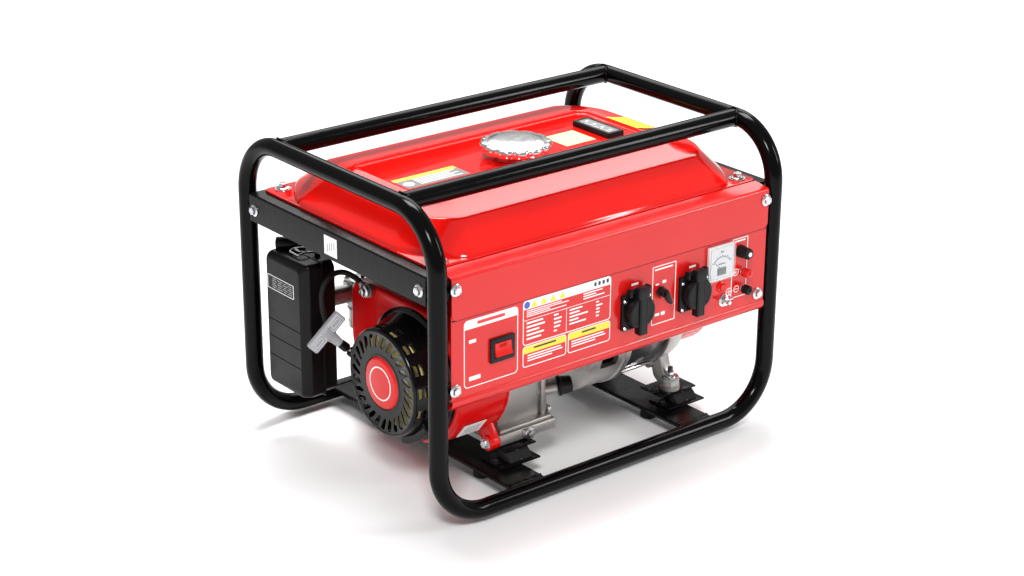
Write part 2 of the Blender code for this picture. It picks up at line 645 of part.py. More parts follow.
def build_engine():
    middle_x = (CASE_LEFT_X + CASE_RIGHT_X) / 2
    base = slab((-0.1302, -0.138, BASE_LOW_Z), (-0.032, 0.052, 0.066), 0.003, 1)
    outline = [(-0.122, 0.060), (-0.122, 0.178), (-0.112, 0.206), (-0.085, 0.222), (-0.035, 0.228),
               (0.005, 0.215), (0.030, 0.120), (0.040, 0.060)]
    case = prism(outline, "X", CASE_LEFT_X, CASE_RIGHT_X)
    barrel = cylinder_block(0.050, HEAD_START - GAP, 0.038, middle_x - 0.040, middle_x + 0.040)
    fins = [cylinder_block(d, d + 0.0025, 0.046, middle_x - 0.047, middle_x + 0.047)
            for d in (0.096, 0.107, 0.118, 0.129, 0.140)]
    neck_start, neck_end = Vector((-0.062, -0.104, 0.098)), Vector((-0.022, -0.126, 0.104))
    neck = rod(neck_start, neck_end, 0.0105, 16)
    cavity = rod((CASE_LEFT_X + 0.010, CRANK_Y, CRANK_Z), (CASE_RIGHT_X - 0.010, CRANK_Y, CRANK_Z),
                 0.052, 28)
    boss = rod((CASE_RIGHT_X - 0.005, CRANK_Y, CRANK_Z), (CASE_RIGHT_X + 0.010, CRANK_Y, CRANK_Z), 0.066, 28)
    journal = rod((-0.2, CRANK_Y, CRANK_Z), (0, CRANK_Y, CRANK_Z), SHAFT_R + GAP, 20)
    bore = cylinder_bore(0.0, 0.2, BORE_R, middle_x)
    piece("crankcase", "cast_aluminium",
          combined(base, adds=[case, barrel, *fins, neck, boss], cuts=[cavity, journal, bore]))
    way = (neck_end - neck_start).normalized()
    cap_start = neck_end + way * GAP
    grip = rod(cap_start, cap_start + way * 0.020, 0.0128, 16, 0.0115)
    collar = rod(cap_start, cap_start + way * 0.004, 0.0145, 16)
    piece("oil_dipstick", "black_plastic", combined(collar, adds=[grip]), cap_start)

    head = cylinder_block(HEAD_START, HEAD_END, 0.040, middle_x - 0.042, middle_x + 0.042)
    head_fins = [cylinder_block(d, d + 0.0025, 0.046, middle_x - 0.047, middle_x + 0.047)
                 for d in (0.153, 0.164, 0.175)]
    rocker = cylinder_block(HEAD_END - 0.006, HEAD_END + 0.020, 0.034, middle_x - 0.036, middle_x + 0.036)
    bmesh.ops.bevel(rocker, geom=rocker.edges, offset=0.004, segments=2, affect="EDGES", profile=0.5)
    piece("cylinder_head", "cast_aluminium", combined(head, adds=[*head_fins, rocker]))

    webs = [turned([(a, 0), (a, 0.034), (a + 0.010, 0.034), (a + 0.010, 0)], (CRANK_Y, CRANK_Z), "X", 24)
            for a in (middle_x - 0.022, middle_x + 0.012)]
    pin = rod((middle_x - 0.014, CRANK_Y, CRANK_Z + 0.020),
              (middle_x + 0.014, CRANK_Y, CRANK_Z + 0.020), 0.012, 16)
    left = rod((-0.2195, CRANK_Y, CRANK_Z), (middle_x - 0.014, CRANK_Y, CRANK_Z), SHAFT_R, 20)
    right = rod((middle_x + 0.014, CRANK_Y, CRANK_Z), (0.020, CRANK_Y, CRANK_Z), SHAFT_R, 20)
    piece("crankshaft", "steel", combined(left, adds=[*webs, pin, right]), (0, CRANK_Y, CRANK_Z))


def build_flywheel_side():
    axis = (CRANK_Y, CRANK_Z)
    bore = SHAFT_R + GAP
    wheel = turned([(-0.192, bore), (-0.192, 0.086), (-0.168, 0.086), (-0.168, 0.070), (-0.180, 0.066),
                    (-0.180, 0.026), (-0.160, 0.022), (-0.160, bore)], axis, "X", 32)
    blades = []
    for k in range(12):
        blade = slab((-0.211, 0.046, -0.0012), (-0.191, 0.078, 0.0012))
        turn = Matrix.Rotation(2 * math.pi * k / 12, 4, "X") @ Matrix.Translation((0, 0.0, 0.012))
        bmesh.ops.transform(blade, matrix=Matrix.Translation((0, *axis)) @ turn, verts=blade.verts)
        blades.append(blade)
    piece("flywheel", "cast_aluminium", combined(wheel, adds=blades), (0, *axis))
    cup = turned([(-0.2190, bore), (-0.2190, 0.040), (-0.2450, 0.062), (-0.2450, 0.066), (-0.2430, 0.066),
                  (-0.2160, 0.0425), (-0.2160, bore)], axis, "X", 28)
    piece("starter_cup", "zinc_gold", cup, (0, *axis))

    arcs = arc(axis, 0.098, 128, 262, 12)
    outline = [*arcs, (-0.040, 0.056), (-0.010, 0.072), (0.018, 0.090), (0.060, 0.118), (0.083, 0.150),
               (0.083, 0.225), (0.076, 0.240), (0.060, 0.247), (-0.080, 0.247), (-0.108, 0.240)]
    inner = [(CRANK_Y + (y - CRANK_Y) * 0.975, CRANK_Z + (z - CRANK_Z) * 0.975) for y, z in outline]
    shell = prism(outline, "X", SHROUD_FRONT_X, SHROUD_BACK_X)
    inside = prism(inner, "X", SHROUD_FRONT_X + 0.002, SHROUD_BACK_X + 0.01)
    mouth = rod((SHROUD_FRONT_X - 0.01, *axis), (SHROUD_FRONT_X + 0.01, *axis), 0.082, 32)
    piece("fan_shroud", "red_paint", combined(shell, cuts=[inside, mouth]))


def build_recoil():
    axis = (CRANK_Y, CRANK_Z)
    face, back = RECOIL_FACE_X, SHROUD_FRONT_X - GAP
    wall = 0.0022
    profile = [(face, 0.0365), (face, 0.0690), (face + 0.0015, 0.0718), (face + 0.004, 0.0732),
               (back - 0.006, 0.0830), (back - 0.003, 0.0895), (back, 0.0900),
               (back, 0.0835), (back - 0.006, 0.0805), (face + 0.005, 0.0708),
               (face + wall, 0.0675), (face + wall, 0.0365)]
    cover = turned(profile, axis, "X", 54)
    slots = []
    for k in range(27):
        slot = slab((face - 0.005, 0.0430, -0.0016), (face + 0.004, 0.0655, 0.0016))
        lean = Matrix.Translation((0, 0.054, 0)) @ Matrix.Rotation(math.radians(28), 4, "X")
        lean = lean @ Matrix.Translation((0, -0.054, 0))
        place = Matrix.Translation((0, *axis)) @ Matrix.Rotation(2 * math.pi * k / 27, 4, "X") @ lean
        bmesh.ops.transform(slot, matrix=place, verts=slot.verts)
        slots.append(slot)
    guide_root = GUIDE_AT - PULL * 0.030
    guide = rod(guide_root, GUIDE_AT, 0.0075, 14)
    guide_foot = slab((-0.239, 0.016, 0.131), (-0.224, 0.034, 0.147), 0.002, 1)
    hole = rod(guide_root - PULL * 0.01, GUIDE_AT + PULL * 0.01, 0.0024, 10)
    piece("recoil_cover", "black_paint", combined(cover, adds=[guide, guide_foot], cuts=[*slots, hole]))
    disc = turned([(face - 0.002, 0), (face - 0.002, 0.0345), (face + 0.001, 0.0361), (face + wall, 0.0361),
                   (face + wall, 0)], axis, "X", 36)
    piece("starter_badge", "red_plastic", disc)
    front = face + wall + GAP
    reel = turned([(front, 0), (front, 0.038), (front + 0.003, 0.040), (front + 0.006, 0.034),
                   (front + 0.009, 0.040), (front + 0.012, 0.038), (front + 0.012, 0)], axis, "X", 24)
    piece("starter_reel", "white_plastic", reel, (0, *axis))

    rope_end = GUIDE_AT + PULL * 0.003
    piece("starter_rope", "rope", rod(guide_root + PULL * 0.003, rope_end, 0.0019, 8), rope_end)
    centre = GUIDE_AT + PULL * HANDLE_REACH
    third = PULL.cross(GRIP_AXIS).normalized()
    stem = rod(rope_end + PULL * GAP, centre, 0.0052, 14, 0.0075)
    grip = slab((-0.0313, -0.0085, -0.0060), (0.0313, 0.0085, 0.0060), 0.0025, 1)
    side = GRIP_AXIS.cross(third).normalized()
    basis = Matrix((GRIP_AXIS, side, third)).transposed().to_4x4()
    bmesh.ops.transform(grip, matrix=Matrix.Translation(centre) @ basis, verts=grip.verts)
    piece("starter_handle", "grey_plastic", combined(grip, adds=[stem]), rope_end)


def build_intake_and_exhaust():
    low, high = (AIR_Y[0], AIR_Z[0]), (AIR_Y[1], AIR_Z[1])

    def outline(inset, radius):
        return rounded_rectangle((low[0] + inset, low[1] + inset),
                                 (high[0] - inset, high[1] - inset), radius, 3)

    outer = prism(outline(0.0, 0.014), "X", AIR_FACE_X, AIR_SEAM_X)
    front_edges = [e for e in outer.edges if all(v.co.x < AIR_FACE_X + 1e-5 for v in e.verts)]
    bmesh.ops.bevel(outer, geom=front_edges, offset=0.008, segments=2, affect="EDGES", profile=0.5)
    inside = prism(outline(0.003, 0.011), "X", AIR_FACE_X + 0.006, AIR_SEAM_X + 0.01)
    piece("air_cleaner_cover", "black_plastic", combined(outer, cuts=[inside]))
    body = prism(outline(0.001, 0.013), "X", AIR_SEAM_X + GAP, AIR_BACK_X)
    room = prism(outline(0.004, 0.010), "X", AIR_SEAM_X - 0.01, AIR_BACK_X - 0.003)
    port = rod((AIR_BACK_X - 0.01, *AIR_PORT), (AIR_BACK_X + 0.01, *AIR_PORT), 0.011, 18)
    lugs = []
    hinge_x, clip_y = AIR_SEAM_X + 0.010, (AIR_Y[0] + AIR_Y[1]) / 2
    for side in (-1, 1):
        ys = sorted((clip_y + side * (CLIP_HALF + GAP), clip_y + side * (CLIP_HALF + 0.004)))
        for low, high in ((AIR_Z[0] - 0.006, AIR_Z[0] + 0.0035), (AIR_Z[1] - 0.0035, AIR_Z[1] + 0.006)):
            lugs.append(slab((hinge_x - 0.004, ys[0], low), (hinge_x + 0.004, ys[1], high)))
    piece("air_cleaner_body", "black_plastic", combined(body, adds=lugs, cuts=[room, port]))
    for label, pivot_z, lift in (("top", AIR_Z[1] + 0.003, 0.0015), ("bottom", AIR_Z[0] - 0.003, -0.0015)):
        far_x, far_z = hinge_x - 0.026, pivot_z + lift
        path = filleted([(hinge_x, clip_y - CLIP_HALF, pivot_z), (hinge_x, clip_y - 0.011, pivot_z),
                         (far_x, clip_y - 0.011, far_z), (far_x, clip_y + 0.011, far_z),
                         (hinge_x, clip_y + 0.011, pivot_z), (hinge_x, clip_y + CLIP_HALF, pivot_z)],
                        0.0025, 3)
        piece(f"air_clip_{label}", "steel", swept(path, 0.0012, 8), (hinge_x, clip_y, pivot_z))

    start = AIR_BACK_X + GAP
    head_left, head_right = CASE_LEFT_X - 0.0063, CASE_RIGHT_X + 0.0063
    y, z = HEAD_PORT
    flanges = [slab((start, AIR_PORT[0] - 0.016, AIR_PORT[1] - 0.016),
                    (start + 0.006, AIR_PORT[0] + 0.016, AIR_PORT[1] + 0.016), 0.002, 1),
               slab((head_left - 0.005, y - 0.016, z - 0.015), (head_left, y + 0.016, z + 0.015))]
    barrel = rod((start + 0.003, *AIR_PORT), (head_left - 0.003, *HEAD_PORT), 0.013, 20)
    block = slab((-0.190, 0.101, 0.184), (-0.150, 0.135, 0.220), 0.003, 1)
    bowl = rod((-0.170, 0.118, 0.152), (-0.170, 0.118, 0.188), 0.018, 20)
    venturi = rod((start - 0.01, *AIR_PORT), (head_left + 0.01, *HEAD_PORT), 0.009, 18)
    piece("carburettor", "cast_aluminium", combined(block, adds=[barrel, bowl, *flanges], cuts=[venturi]))
    hub = rod((-0.182, 0.101 - GAP, 0.212), (-0.182, 0.095, 0.212), 0.005, 14)
    arm = slab((-0.184, 0.095, 0.212), (-0.180, 0.098, 0.243))
    piece("choke_lever", "black_plastic", combined(hub, adds=[arm]), (-0.182, 0.098, 0.212))

    box = slab((0.000, 0.100, 0.150), (0.190, 0.186, 0.262), 0.016, 3)
    flange = slab((head_right, y - 0.016, z - 0.015), (head_right + 0.005, y + 0.016, z + 0.015))
    pipe = rod((head_right + 0.0045, *HEAD_PORT), (0.012, 0.135, 0.205), 0.011, 16)
    outlet = rod((0.165, 0.165, 0.175), (0.200, 0.190, 0.175), 0.009, 14)
    piece("muffler", "muffler_steel", combined(box, adds=[pipe, flange, outlet]))


# ---------------------------------------------------------------- alternator
def build_alternator():
    axis = (CRANK_Y, CRANK_Z)
    left = CASE_RIGHT_X + 0.010 + GAP
    right = STATOR_X[0] - GAP
    bell = turned([(left, 0.046), (left, 0.058), (0.004, 0.064), (0.022, 0.086), (0.030, 0.0885),
                   (right, 0.0885), (right, 0.0805), (0.030, 0.0805), (0.024, 0.078), (0.006, 0.056),
                   (0.000, 0.050), (0.000, 0.046)], axis, "X", 36)
    vents = []
    for k in range(6):
        vent = slab((0.040, 0.070, -0.014), (0.070, 0.095, 0.014))
        place = Matrix.Translation((0, *axis)) @ Matrix.Rotation(math.radians(60 * k + 75), 4, "X")
        bmesh.ops.transform(vent, matrix=place, verts=vent.verts)
        vents.append(vent)
    piece("alternator_front_bracket", "cast_aluminium", combined(bell, cuts=vents))
    stator = turned([(STATOR_X[0], STATOR_BORE), (STATOR_X[0], STATOR_R), (STATOR_X[1], STATOR_R),
                     (STATOR_X[1], STATOR_BORE)], axis, "X", 36)
    piece("stator", "copper_core", stator)
    shaft = rod((0.0203, *axis), (0.2170, *axis), 0.0100, 20)
    core = rod((0.096, *axis), (0.164, *axis), STATOR_BORE - 0.001, 28)
    fan = rod((0.060, *axis), (0.068, *axis), 0.070, 28)
    piece("rotor", "copper_core", combined(core, adds=[shaft, fan]), (0, *axis))

    rear = STATOR_X[1] + GAP
    bracket = turned([(rear, 0.074), (rear, 0.086), (rear + 0.030, 0.082), (rear + 0.044, 0.070),
                      (rear + 0.046, 0.060), (rear + 0.046, 0.0103), (rear + 0.036, 0.0103),
                      (rear + 0.036, 0.060),
                      (rear + 0.028, 0.074)], axis, "X", 36)
    arms, bosses = [], []
    for front in (True, False):
        arm = prism([(-0.147, BASE_LOW_Z), (-0.147, 0.060), (-0.128, 0.070), (-0.118, 0.100),
                     (-0.092, 0.088),
                     (-0.105, 0.060), (-0.120, BASE_LOW_Z)], "X", 0.170, 0.188)
        boss = rod((0.178, -0.136, BASE_LOW_Z), (0.178, -0.136, 0.0655), 0.0125, 18)
        flange = rod((0.178, -0.136, BASE_LOW_Z), (0.178, -0.136, 0.0530), 0.0140, 18)
        for shape, group in ((arm, arms), (boss, bosses), (flange, bosses)):
            group.append(shape if front else mirrored(shape, 1, CRANK_Y))
    piece("alternator_rear_bracket", "cast_aluminium", combined(bracket, adds=[*arms, *bosses]))
    start = rear + 0.046 + GAP
    cover = turned([(start, 0.0665), (start, END_COVER_R), (END_COVER_X - 0.006, END_COVER_R),
                    (END_COVER_X - 0.0015, END_COVER_R - 0.0025), (END_COVER_X, END_COVER_R - 0.007),
                    (END_COVER_X, 0), (END_COVER_X - 0.0022, 0), (END_COVER_X - 0.0022, 0.060),
                    (END_COVER_X - 0.006, 0.0665)], axis, "X", 36)
    piece("alternator_end_cover", "red_paint", cover)


def main():
    clear_scene()
    base = bpy.data.objects.new("generator", None)
    bpy.context.scene.collection.objects.link(base)
    base.location = (0, CENTRE_Y, 0)
    build_frame()
    build_end_plates()
    build_mounts()
    build_tank()
    build_panel()
    build_switch()
    build_sockets()
    build_controls()
    build_engine()
    build_flywheel_side()
    build_recoil()
    build_intake_and_exhaust()
    build_alternator()
    bpy.context.view_layer.update()


main()
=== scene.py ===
import json
import math

import bmesh
import bpy
from mathutils import Matrix, Vector


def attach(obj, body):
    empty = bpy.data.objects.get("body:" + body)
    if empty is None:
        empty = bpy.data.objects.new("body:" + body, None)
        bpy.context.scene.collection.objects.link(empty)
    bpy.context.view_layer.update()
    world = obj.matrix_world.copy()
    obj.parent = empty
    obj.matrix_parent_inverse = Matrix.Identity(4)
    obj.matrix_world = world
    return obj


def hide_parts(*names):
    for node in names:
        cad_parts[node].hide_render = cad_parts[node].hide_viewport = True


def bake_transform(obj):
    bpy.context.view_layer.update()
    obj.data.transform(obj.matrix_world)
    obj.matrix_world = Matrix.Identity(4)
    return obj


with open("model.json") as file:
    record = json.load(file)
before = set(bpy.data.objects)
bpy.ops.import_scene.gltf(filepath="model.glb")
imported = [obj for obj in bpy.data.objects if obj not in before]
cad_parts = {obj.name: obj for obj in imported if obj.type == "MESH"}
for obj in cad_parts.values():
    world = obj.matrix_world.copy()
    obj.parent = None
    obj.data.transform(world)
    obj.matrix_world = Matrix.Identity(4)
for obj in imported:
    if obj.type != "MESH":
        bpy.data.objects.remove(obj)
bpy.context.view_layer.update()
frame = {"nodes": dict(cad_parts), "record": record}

# Pieces are drawn in the design's coordinates, and then moved by SHIFT into the CAD's frame.
SHIFT = Vector((0, 0.007, 0))
ROOT = "generator"
TUBE_R = 0.0125
FRAME_X, FRAME_Y = 0.2875, 0.211
RAIL_Z, TOP_Z = 0.0165, 0.4265
BEND_R = 0.076
TOP_RAIL_Y = 0.135
PANEL_Y = -0.2175
PANEL_X = 0.2715
PANEL_FRONT = PANEL_Y - 0.0003
CRANK = (-0.061, 0.153)
SOCKET_Z = 0.2325
SOCKET_X = (0.031, 0.134)
SHARP_ANGLE, BEVEL_ANGLE = 32, 35    # degrees


# ---------------------------------------------------------------- shape tools
def slab(low, high, bevel=0.0, segments=3):
    shape = bmesh.new()
    bmesh.ops.create_cube(shape, size=1.0)
    bmesh.ops.scale(shape, vec=[b - a for a, b in zip(low, high)], verts=shape.verts)
    bmesh.ops.translate(shape, vec=[(a + b) / 2 for a, b in zip(low, high)], verts=shape.verts)
    if bevel:
        bmesh.ops.bevel(shape, geom=shape.edges, offset=bevel, segments=segments, affect="EDGES", profile=0.5)
    return shape


def rod(start, end, radius, sides=32, end_radius=None, bevel=0.0):
    start, end = Vector(start), Vector(end)
    run = end - start
    shape = bmesh.new()
    tip = radius if end_radius is None else end_radius
    bmesh.ops.create_cone(shape, cap_ends=True, segments=sides, radius1=radius, radius2=tip, depth=run.length)
    if bevel:
        rims = [e for e in shape.edges if abs(e.verts[0].co.z - e.verts[1].co.z) < 1e-6]
        bmesh.ops.bevel(shape, geom=rims, offset=bevel, segments=2, affect="EDGES", profile=0.5)
    turn = Vector((0, 0, 1)).rotation_difference(run).to_matrix().to_4x4()
    bmesh.ops.transform(shape, matrix=Matrix.Translation((start + end) / 2) @ turn, verts=shape.verts)
    return shape


def turned(profile, centre=CRANK, axis="X", sides=72):
    shape = bmesh.new()

    def point(along, radius, angle):
        a, b = radius * math.cos(angle), radius * math.sin(angle)
        if axis == "X":
            return (along, centre[0] + a, centre[1] + b)
        if axis == "Y":
            return (centre[0] + b, along, centre[1] + a)
        return (centre[0] + a, centre[1] + b, along)

    rings = []
    for along, radius in profile:
        count = sides if radius > 1e-9 else 1
        rings.append([shape.verts.new(point(along, radius, 2 * math.pi * i / sides)) for i in range(count)])
    pairs = list(zip(rings, rings[1:]))
    if len(rings[0]) > 1 or len(rings[-1]) > 1:
        pairs.append((rings[-1], rings[0]))
    for first, second in pairs:
        for i in range(sides):
            j = (i + 1) % sides
            ring = [first[i % len(first)], first[j % len(first)], second[j % len(second)],
                    second[i % len(second)]]
            kept = list(dict.fromkeys(ring))
            if len(kept) > 2:
                shape.faces.new(kept)
    bmesh.ops.recalc_face_normals(shape, faces=shape.faces)
    return shape


def prism(outline, axis, low, high):
    spot = "XYZ".index(axis)
    shape = bmesh.new()
    layers = []
    for level in (low, high):
        ring = []
        for u, v in outline:
            place = [u, v]
            place.insert(spot, level)
            ring.append(shape.verts.new(place))
        layers.append(ring)
    shape.faces.new(layers[0])
    shape.faces.new(layers[1])
    for i in range(len(outline)):
        j = (i + 1) % len(outline)
        shape.faces.new((layers[0][i], layers[0][j], layers[1][j], layers[1][i]))
    bmesh.ops.recalc_face_normals(shape, faces=shape.faces)
    return shape


def arc(centre, radius, start, end, steps):
    points = []
    for i in range(steps + 1):
        angle = math.radians(start + (end - start) * i / steps)
        points.append((centre[0] + radius * math.cos(angle), centre[1] + radius * math.sin(angle)))
    return points


def rounded(low, high, radius, steps=6):
    (x0, y0), (x1, y1) = low, high
    points = []
    for x, y, start in ((x1 - radius, y1 - radius, 0), (x0 + radius, y1 - radius, 90),
                        (x0 + radius, y0 + radius, 180), (x1 - radius, y0 + radius, 270)):
        points += arc((x, y), radius, start, start + 90, steps)
    return points


def thickened(line, thickness):
    points = [Vector(p) for p in line]
    inner = []
    for i, p in enumerate(points):
        before = (p - points[i - 1]).normalized() if i else (points[1] - p).normalized()
        after = (points[i + 1] - p).normalized() if i + 1 < len(points) else before
        mean = (before + after).normalized()
        normal = Vector((-mean.y, mean.x))
        inner.append(p + normal * (thickness / max(0.3, normal.dot(Vector((-before.y, before.x))))))
    return [tuple(p) for p in points] + [tuple(p) for p in reversed(inner)]


def filleted(corners, radius, steps, closed=False):
    points = [Vector(c) for c in corners]
    count = len(points)
    path = [] if closed else [points[0]]
    for i in range(count) if closed else range(1, count - 1):
        corner = points[i]
        back = (points[i - 1] - corner).normalized()
        on = (points[(i + 1) % count] - corner).normalized()
        half = back.angle(on) / 2
        centre = corner + (back + on).normalized() * (radius / math.sin(half))
        first = (corner + back * (radius / math.tan(half)) - centre).normalized()
        last = (corner + on * (radius / math.tan(half)) - centre).normalized()
        path += [centre + first.slerp(last, k / steps) * radius for k in range(steps + 1)]
    return path if closed else path + [points[-1]]


def swept(path, radius, sides=24, closed=False):
    shape = bmesh.new()
    rings = []
    across = None
    count = len(path)
    for i, p in enumerate(path):
        if closed:
            ahead = path[(i + 1) % count] - path[i - 1]
        else:
            ahead = path[min(i + 1, count - 1)] - path[max(i - 1, 0)]
        ahead.normalize()
        across = ahead.orthogonal() if across is None else across
        across = (across - ahead * across.dot(ahead)).normalized()
        side = ahead.cross(across)
        rings.append([shape.verts.new(p + (across * math.cos(2 * math.pi * k / sides)
                                           + side * math.sin(2 * math.pi * k / sides)) * radius)
                      for k in range(sides)])
    pairs = list(zip(rings, rings[1:]))
    if closed:
        turn = min(range(sides), key=lambda k: (rings[0][k].co - rings[-1][0].co).length)
        pairs.append((rings[-1], rings[0][turn:] + rings[0][:turn]))
    for first, second in pairs:
        for k in range(sides):
            m = (k + 1) % sides
            shape.faces.new((first[k], first[m], second[m], second[k]))
    if not closed:
        shape.faces.new(rings[0])
        shape.faces.new(rings[-1])
    bmesh.ops.recalc_face_normals(shape, faces=shape.faces)
    return shape


def lofted(rings, close_start=True, close_end=True):
    shape = bmesh.new()
    layers = [[shape.verts.new(p) for p in ring] for ring in rings]
    for first, second in zip(layers, layers[1:]):
        for k in range(len(first)):
            m = (k + 1) % len(first)
            shape.faces.new((first[k], first[m], second[m], second[k]))
    if close_start:
        shape.faces.new(layers[0])
    if close_end:
        shape.faces.new(layers[-1])
    bmesh.ops.recalc_face_normals(shape, faces=shape.faces)
    return shape


def mirrored(shape, spot, plane=0.0):
    for v in shape.verts:
        v.co[spot] = 2 * plane - v.co[spot]
    bmesh.ops.reverse_faces(shape, faces=shape.faces)
    return shape


def moved(shape, matrix):
    bmesh.ops.transform(shape, matrix=matrix, verts=shape.verts)
    return shape


def gathered(shapes):
    """Several shapes in one mesh, not joined."""
    result = bmesh.new()
    for shape in shapes:
        mesh = bpy.data.meshes.new("gathered")
        shape.to_mesh(mesh)
        shape.free()
        result.from_mesh(mesh)
        bpy.data.meshes.remove(mesh)
    return result


def as_object(name, shape):
    mesh = bpy.data.meshes.new(name)
    shape.to_mesh(mesh)
    shape.free()
    obj = bpy.data.objects.new(name, mesh)
    bpy.context.scene.collection.objects.link(obj)
    return obj


def combined(shape, adds=(), cuts=()):
    base = as_object("base", shape)
    tools = []
    for operation, shapes in (("UNION", adds), ("DIFFERENCE", cuts)):
        for tool_shape in shapes:
            tool = as_object("tool", tool_shape)
            step = base.modifiers.new(operation.lower(), "BOOLEAN")
            step.operation, step.solver, step.object = operation, "EXACT", tool
            tools.append(tool)
    bpy.context.view_layer.update()
    mesh = bpy.data.meshes.new_from_object(base.evaluated_get(bpy.context.evaluated_depsgraph_get()))
    result = bmesh.new()
    result.from_mesh(mesh)
    for obj in [base, *tools]:
        bpy.data.objects.remove(obj, do_unlink=True)
    bpy.data.meshes.remove(mesh)
    bmesh.ops.remove_doubles(result, verts=result.verts, dist=1e-6)
    return result


def piece(name, finish, shape, body=ROOT, stands_for=(), edge=0.0, angle=SHARP_ANGLE):
    """One visible piece. edge is the width of the rounding that its sharp edges get."""
    bmesh.ops.translate(shape, vec=SHIFT, verts=shape.verts)
    obj = as_object(name, shape)
    obj.data.shade_smooth()
    obj.data.set_sharp_from_angle(angle=math.radians(angle))
    obj.data.materials.append(FINISHES[finish])
    if edge:
        round_edges(obj, edge)
    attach(obj, body)
    if stands_for:
        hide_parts(*stands_for)
    return obj


def round_edges(obj, width):
    bevel = obj.modifiers.new("edges", "BEVEL")
    bevel.width, bevel.segments, bevel.limit_method = width, 2, "ANGLE"
    bevel.angle_limit = math.radians(BEVEL_ANGLE)
    bevel.harden_normals = True


# ---------------------------------------------------------------- materials
class Nodes:
    """A material's node tree, with short calls for the nodes used here."""

    def __init__(self, name):
        self.material = bpy.data.materials.new(name)
        self.material.use_nodes = True
        self.tree = self.material.node_tree
        self.shader = self.tree.nodes["Principled BSDF"]
        self.place = self.tree.nodes.new("ShaderNodeTexCoord").outputs["Object"]

    def add(self, kind, values=(), links=()):
        node = self.tree.nodes.new(kind)
        for key, value in dict(values).items():
            if hasattr(node, key):
                setattr(node, key, value)
            else:
                node.inputs[key].default_value = value
        for key, source in dict(links).items():
            self.tree.links.new(source, node.inputs[key])
        return node

    def stretched(self, scale, turn=(0, 0, 0)):
        node = self.add("ShaderNodeMapping", links={"Vector": self.place})
        node.inputs["Scale"].default_value = scale
        node.inputs["Rotation"].default_value = turn
        return node.outputs["Vector"]

    def noise(self, scale, detail=3.0, vector=None, roughness=0.5):
        node = self.add("ShaderNodeTexNoise", {"Scale": scale, "Detail": detail, "Roughness": roughness},
                        {"Vector": vector or self.place})
        return node.outputs["Fac"]

    def cells(self, scale, vector=None):
        node = self.add("ShaderNodeTexVoronoi", {"Scale": scale}, {"Vector": vector or self.place})
        return node.outputs["Distance"]

    def span(self, source, low, high, start=0.0, end=1.0):
        node = self.add("ShaderNodeMapRange",
                        {"From Min": low, "From Max": high, "To Min": start, "To Max": end},
                        {"Value": source})
        return node.outputs["Result"]

    def blend(self, factor, first, second):
        node = self.tree.nodes.new("ShaderNodeMix")
        node.data_type = "RGBA"
        self.tree.links.new(factor, node.inputs["Factor"])
        for socket, value in ((node.inputs[6], first), (node.inputs[7], second)):
            if isinstance(value, tuple):
                socket.default_value = (*value, 1.0)
            else:
                self.tree.links.new(value, socket)
        return node.outputs[2]

    def maths(self, operation, first, second):
        node = self.tree.nodes.new("ShaderNodeMath")
        node.operation = operation
        for socket, value in zip(node.inputs, (first, second)):
            if isinstance(value, (int, float)):
                socket.default_value = value
            else:
                self.tree.links.new(value, socket)
        return node.outputs[0]

    def bump(self, height, distance, strength=1.0, normal=None):
        links = {"Height": height}
        if normal:
            links["Normal"] = normal
        return self.add("ShaderNodeBump", {"Distance": distance, "Strength": strength},
                        links).outputs["Normal"]

    def finish(self, colour=None, roughness=None, normal=None, **uniform):
        for key, source in (("Base Color", colour), ("Roughness", roughness), ("Normal", normal)):
            if source is not None:
                self.tree.links.new(source, self.shader.inputs[key])
        for key, value in uniform.items():
            self.shader.inputs[key.replace("_", " ")].default_value = value
        return self.material


def shaded(colour, factor):
    return tuple(min(1.0, c * factor) for c in colour)


def paint(name, colour, roughness, peel=0.00002, gloss=0.3, dust=0.0, dust_colour=(0.4, 0.38, 0.36)):
    """Sprayed paint: a slight orange peel, uneven gloss, and dust where it settles."""
    n = Nodes(name)
    tone = n.blend(n.noise(9.0, 2.0), shaded(colour, 0.90), shaded(colour, 1.08))
    if dust:
        settled = n.span(n.noise(140.0, 6.0, roughness=0.75), 0.56, 0.74, 0.0, dust)
        tone = n.blend(settled, tone, dust_colour)
    peel_bump = n.bump(n.noise(420.0, 2.0), peel, 0.5)
    scuffs = n.noise(30.0, 5.0, n.stretched((1.0, 6.0, 1.0), (0.5, 0.3, 0.9)), 0.65)
    return n.finish(tone, n.span(scuffs, 0.3, 0.75, roughness * 0.75, roughness * 1.45), peel_bump,
                    Specular_IOR_Level=gloss)


def plastic(name, colour, roughness, grain=900.0, depth=0.00004, wear=0.25, gloss=0.3):
    """Moulded plastic or rubber: a fine grain and a faint bloom."""
    n = Nodes(name)
    bloom = n.span(n.noise(26.0, 5.0, roughness=0.7), 0.45, 0.8, 0.0, wear)
    tone = n.blend(bloom, colour, tuple(c + 0.05 for c in colour))
    grains = n.bump(n.cells(grain), depth, 0.6)
    broad = n.bump(n.noise(45.0, 2.0), depth * 3, 0.25, grains)
    return n.finish(tone, n.span(n.noise(60.0, 4.0), 0.3, 0.7, roughness * 0.85, roughness * 1.15), broad,
                    Specular_IOR_Level=gloss)


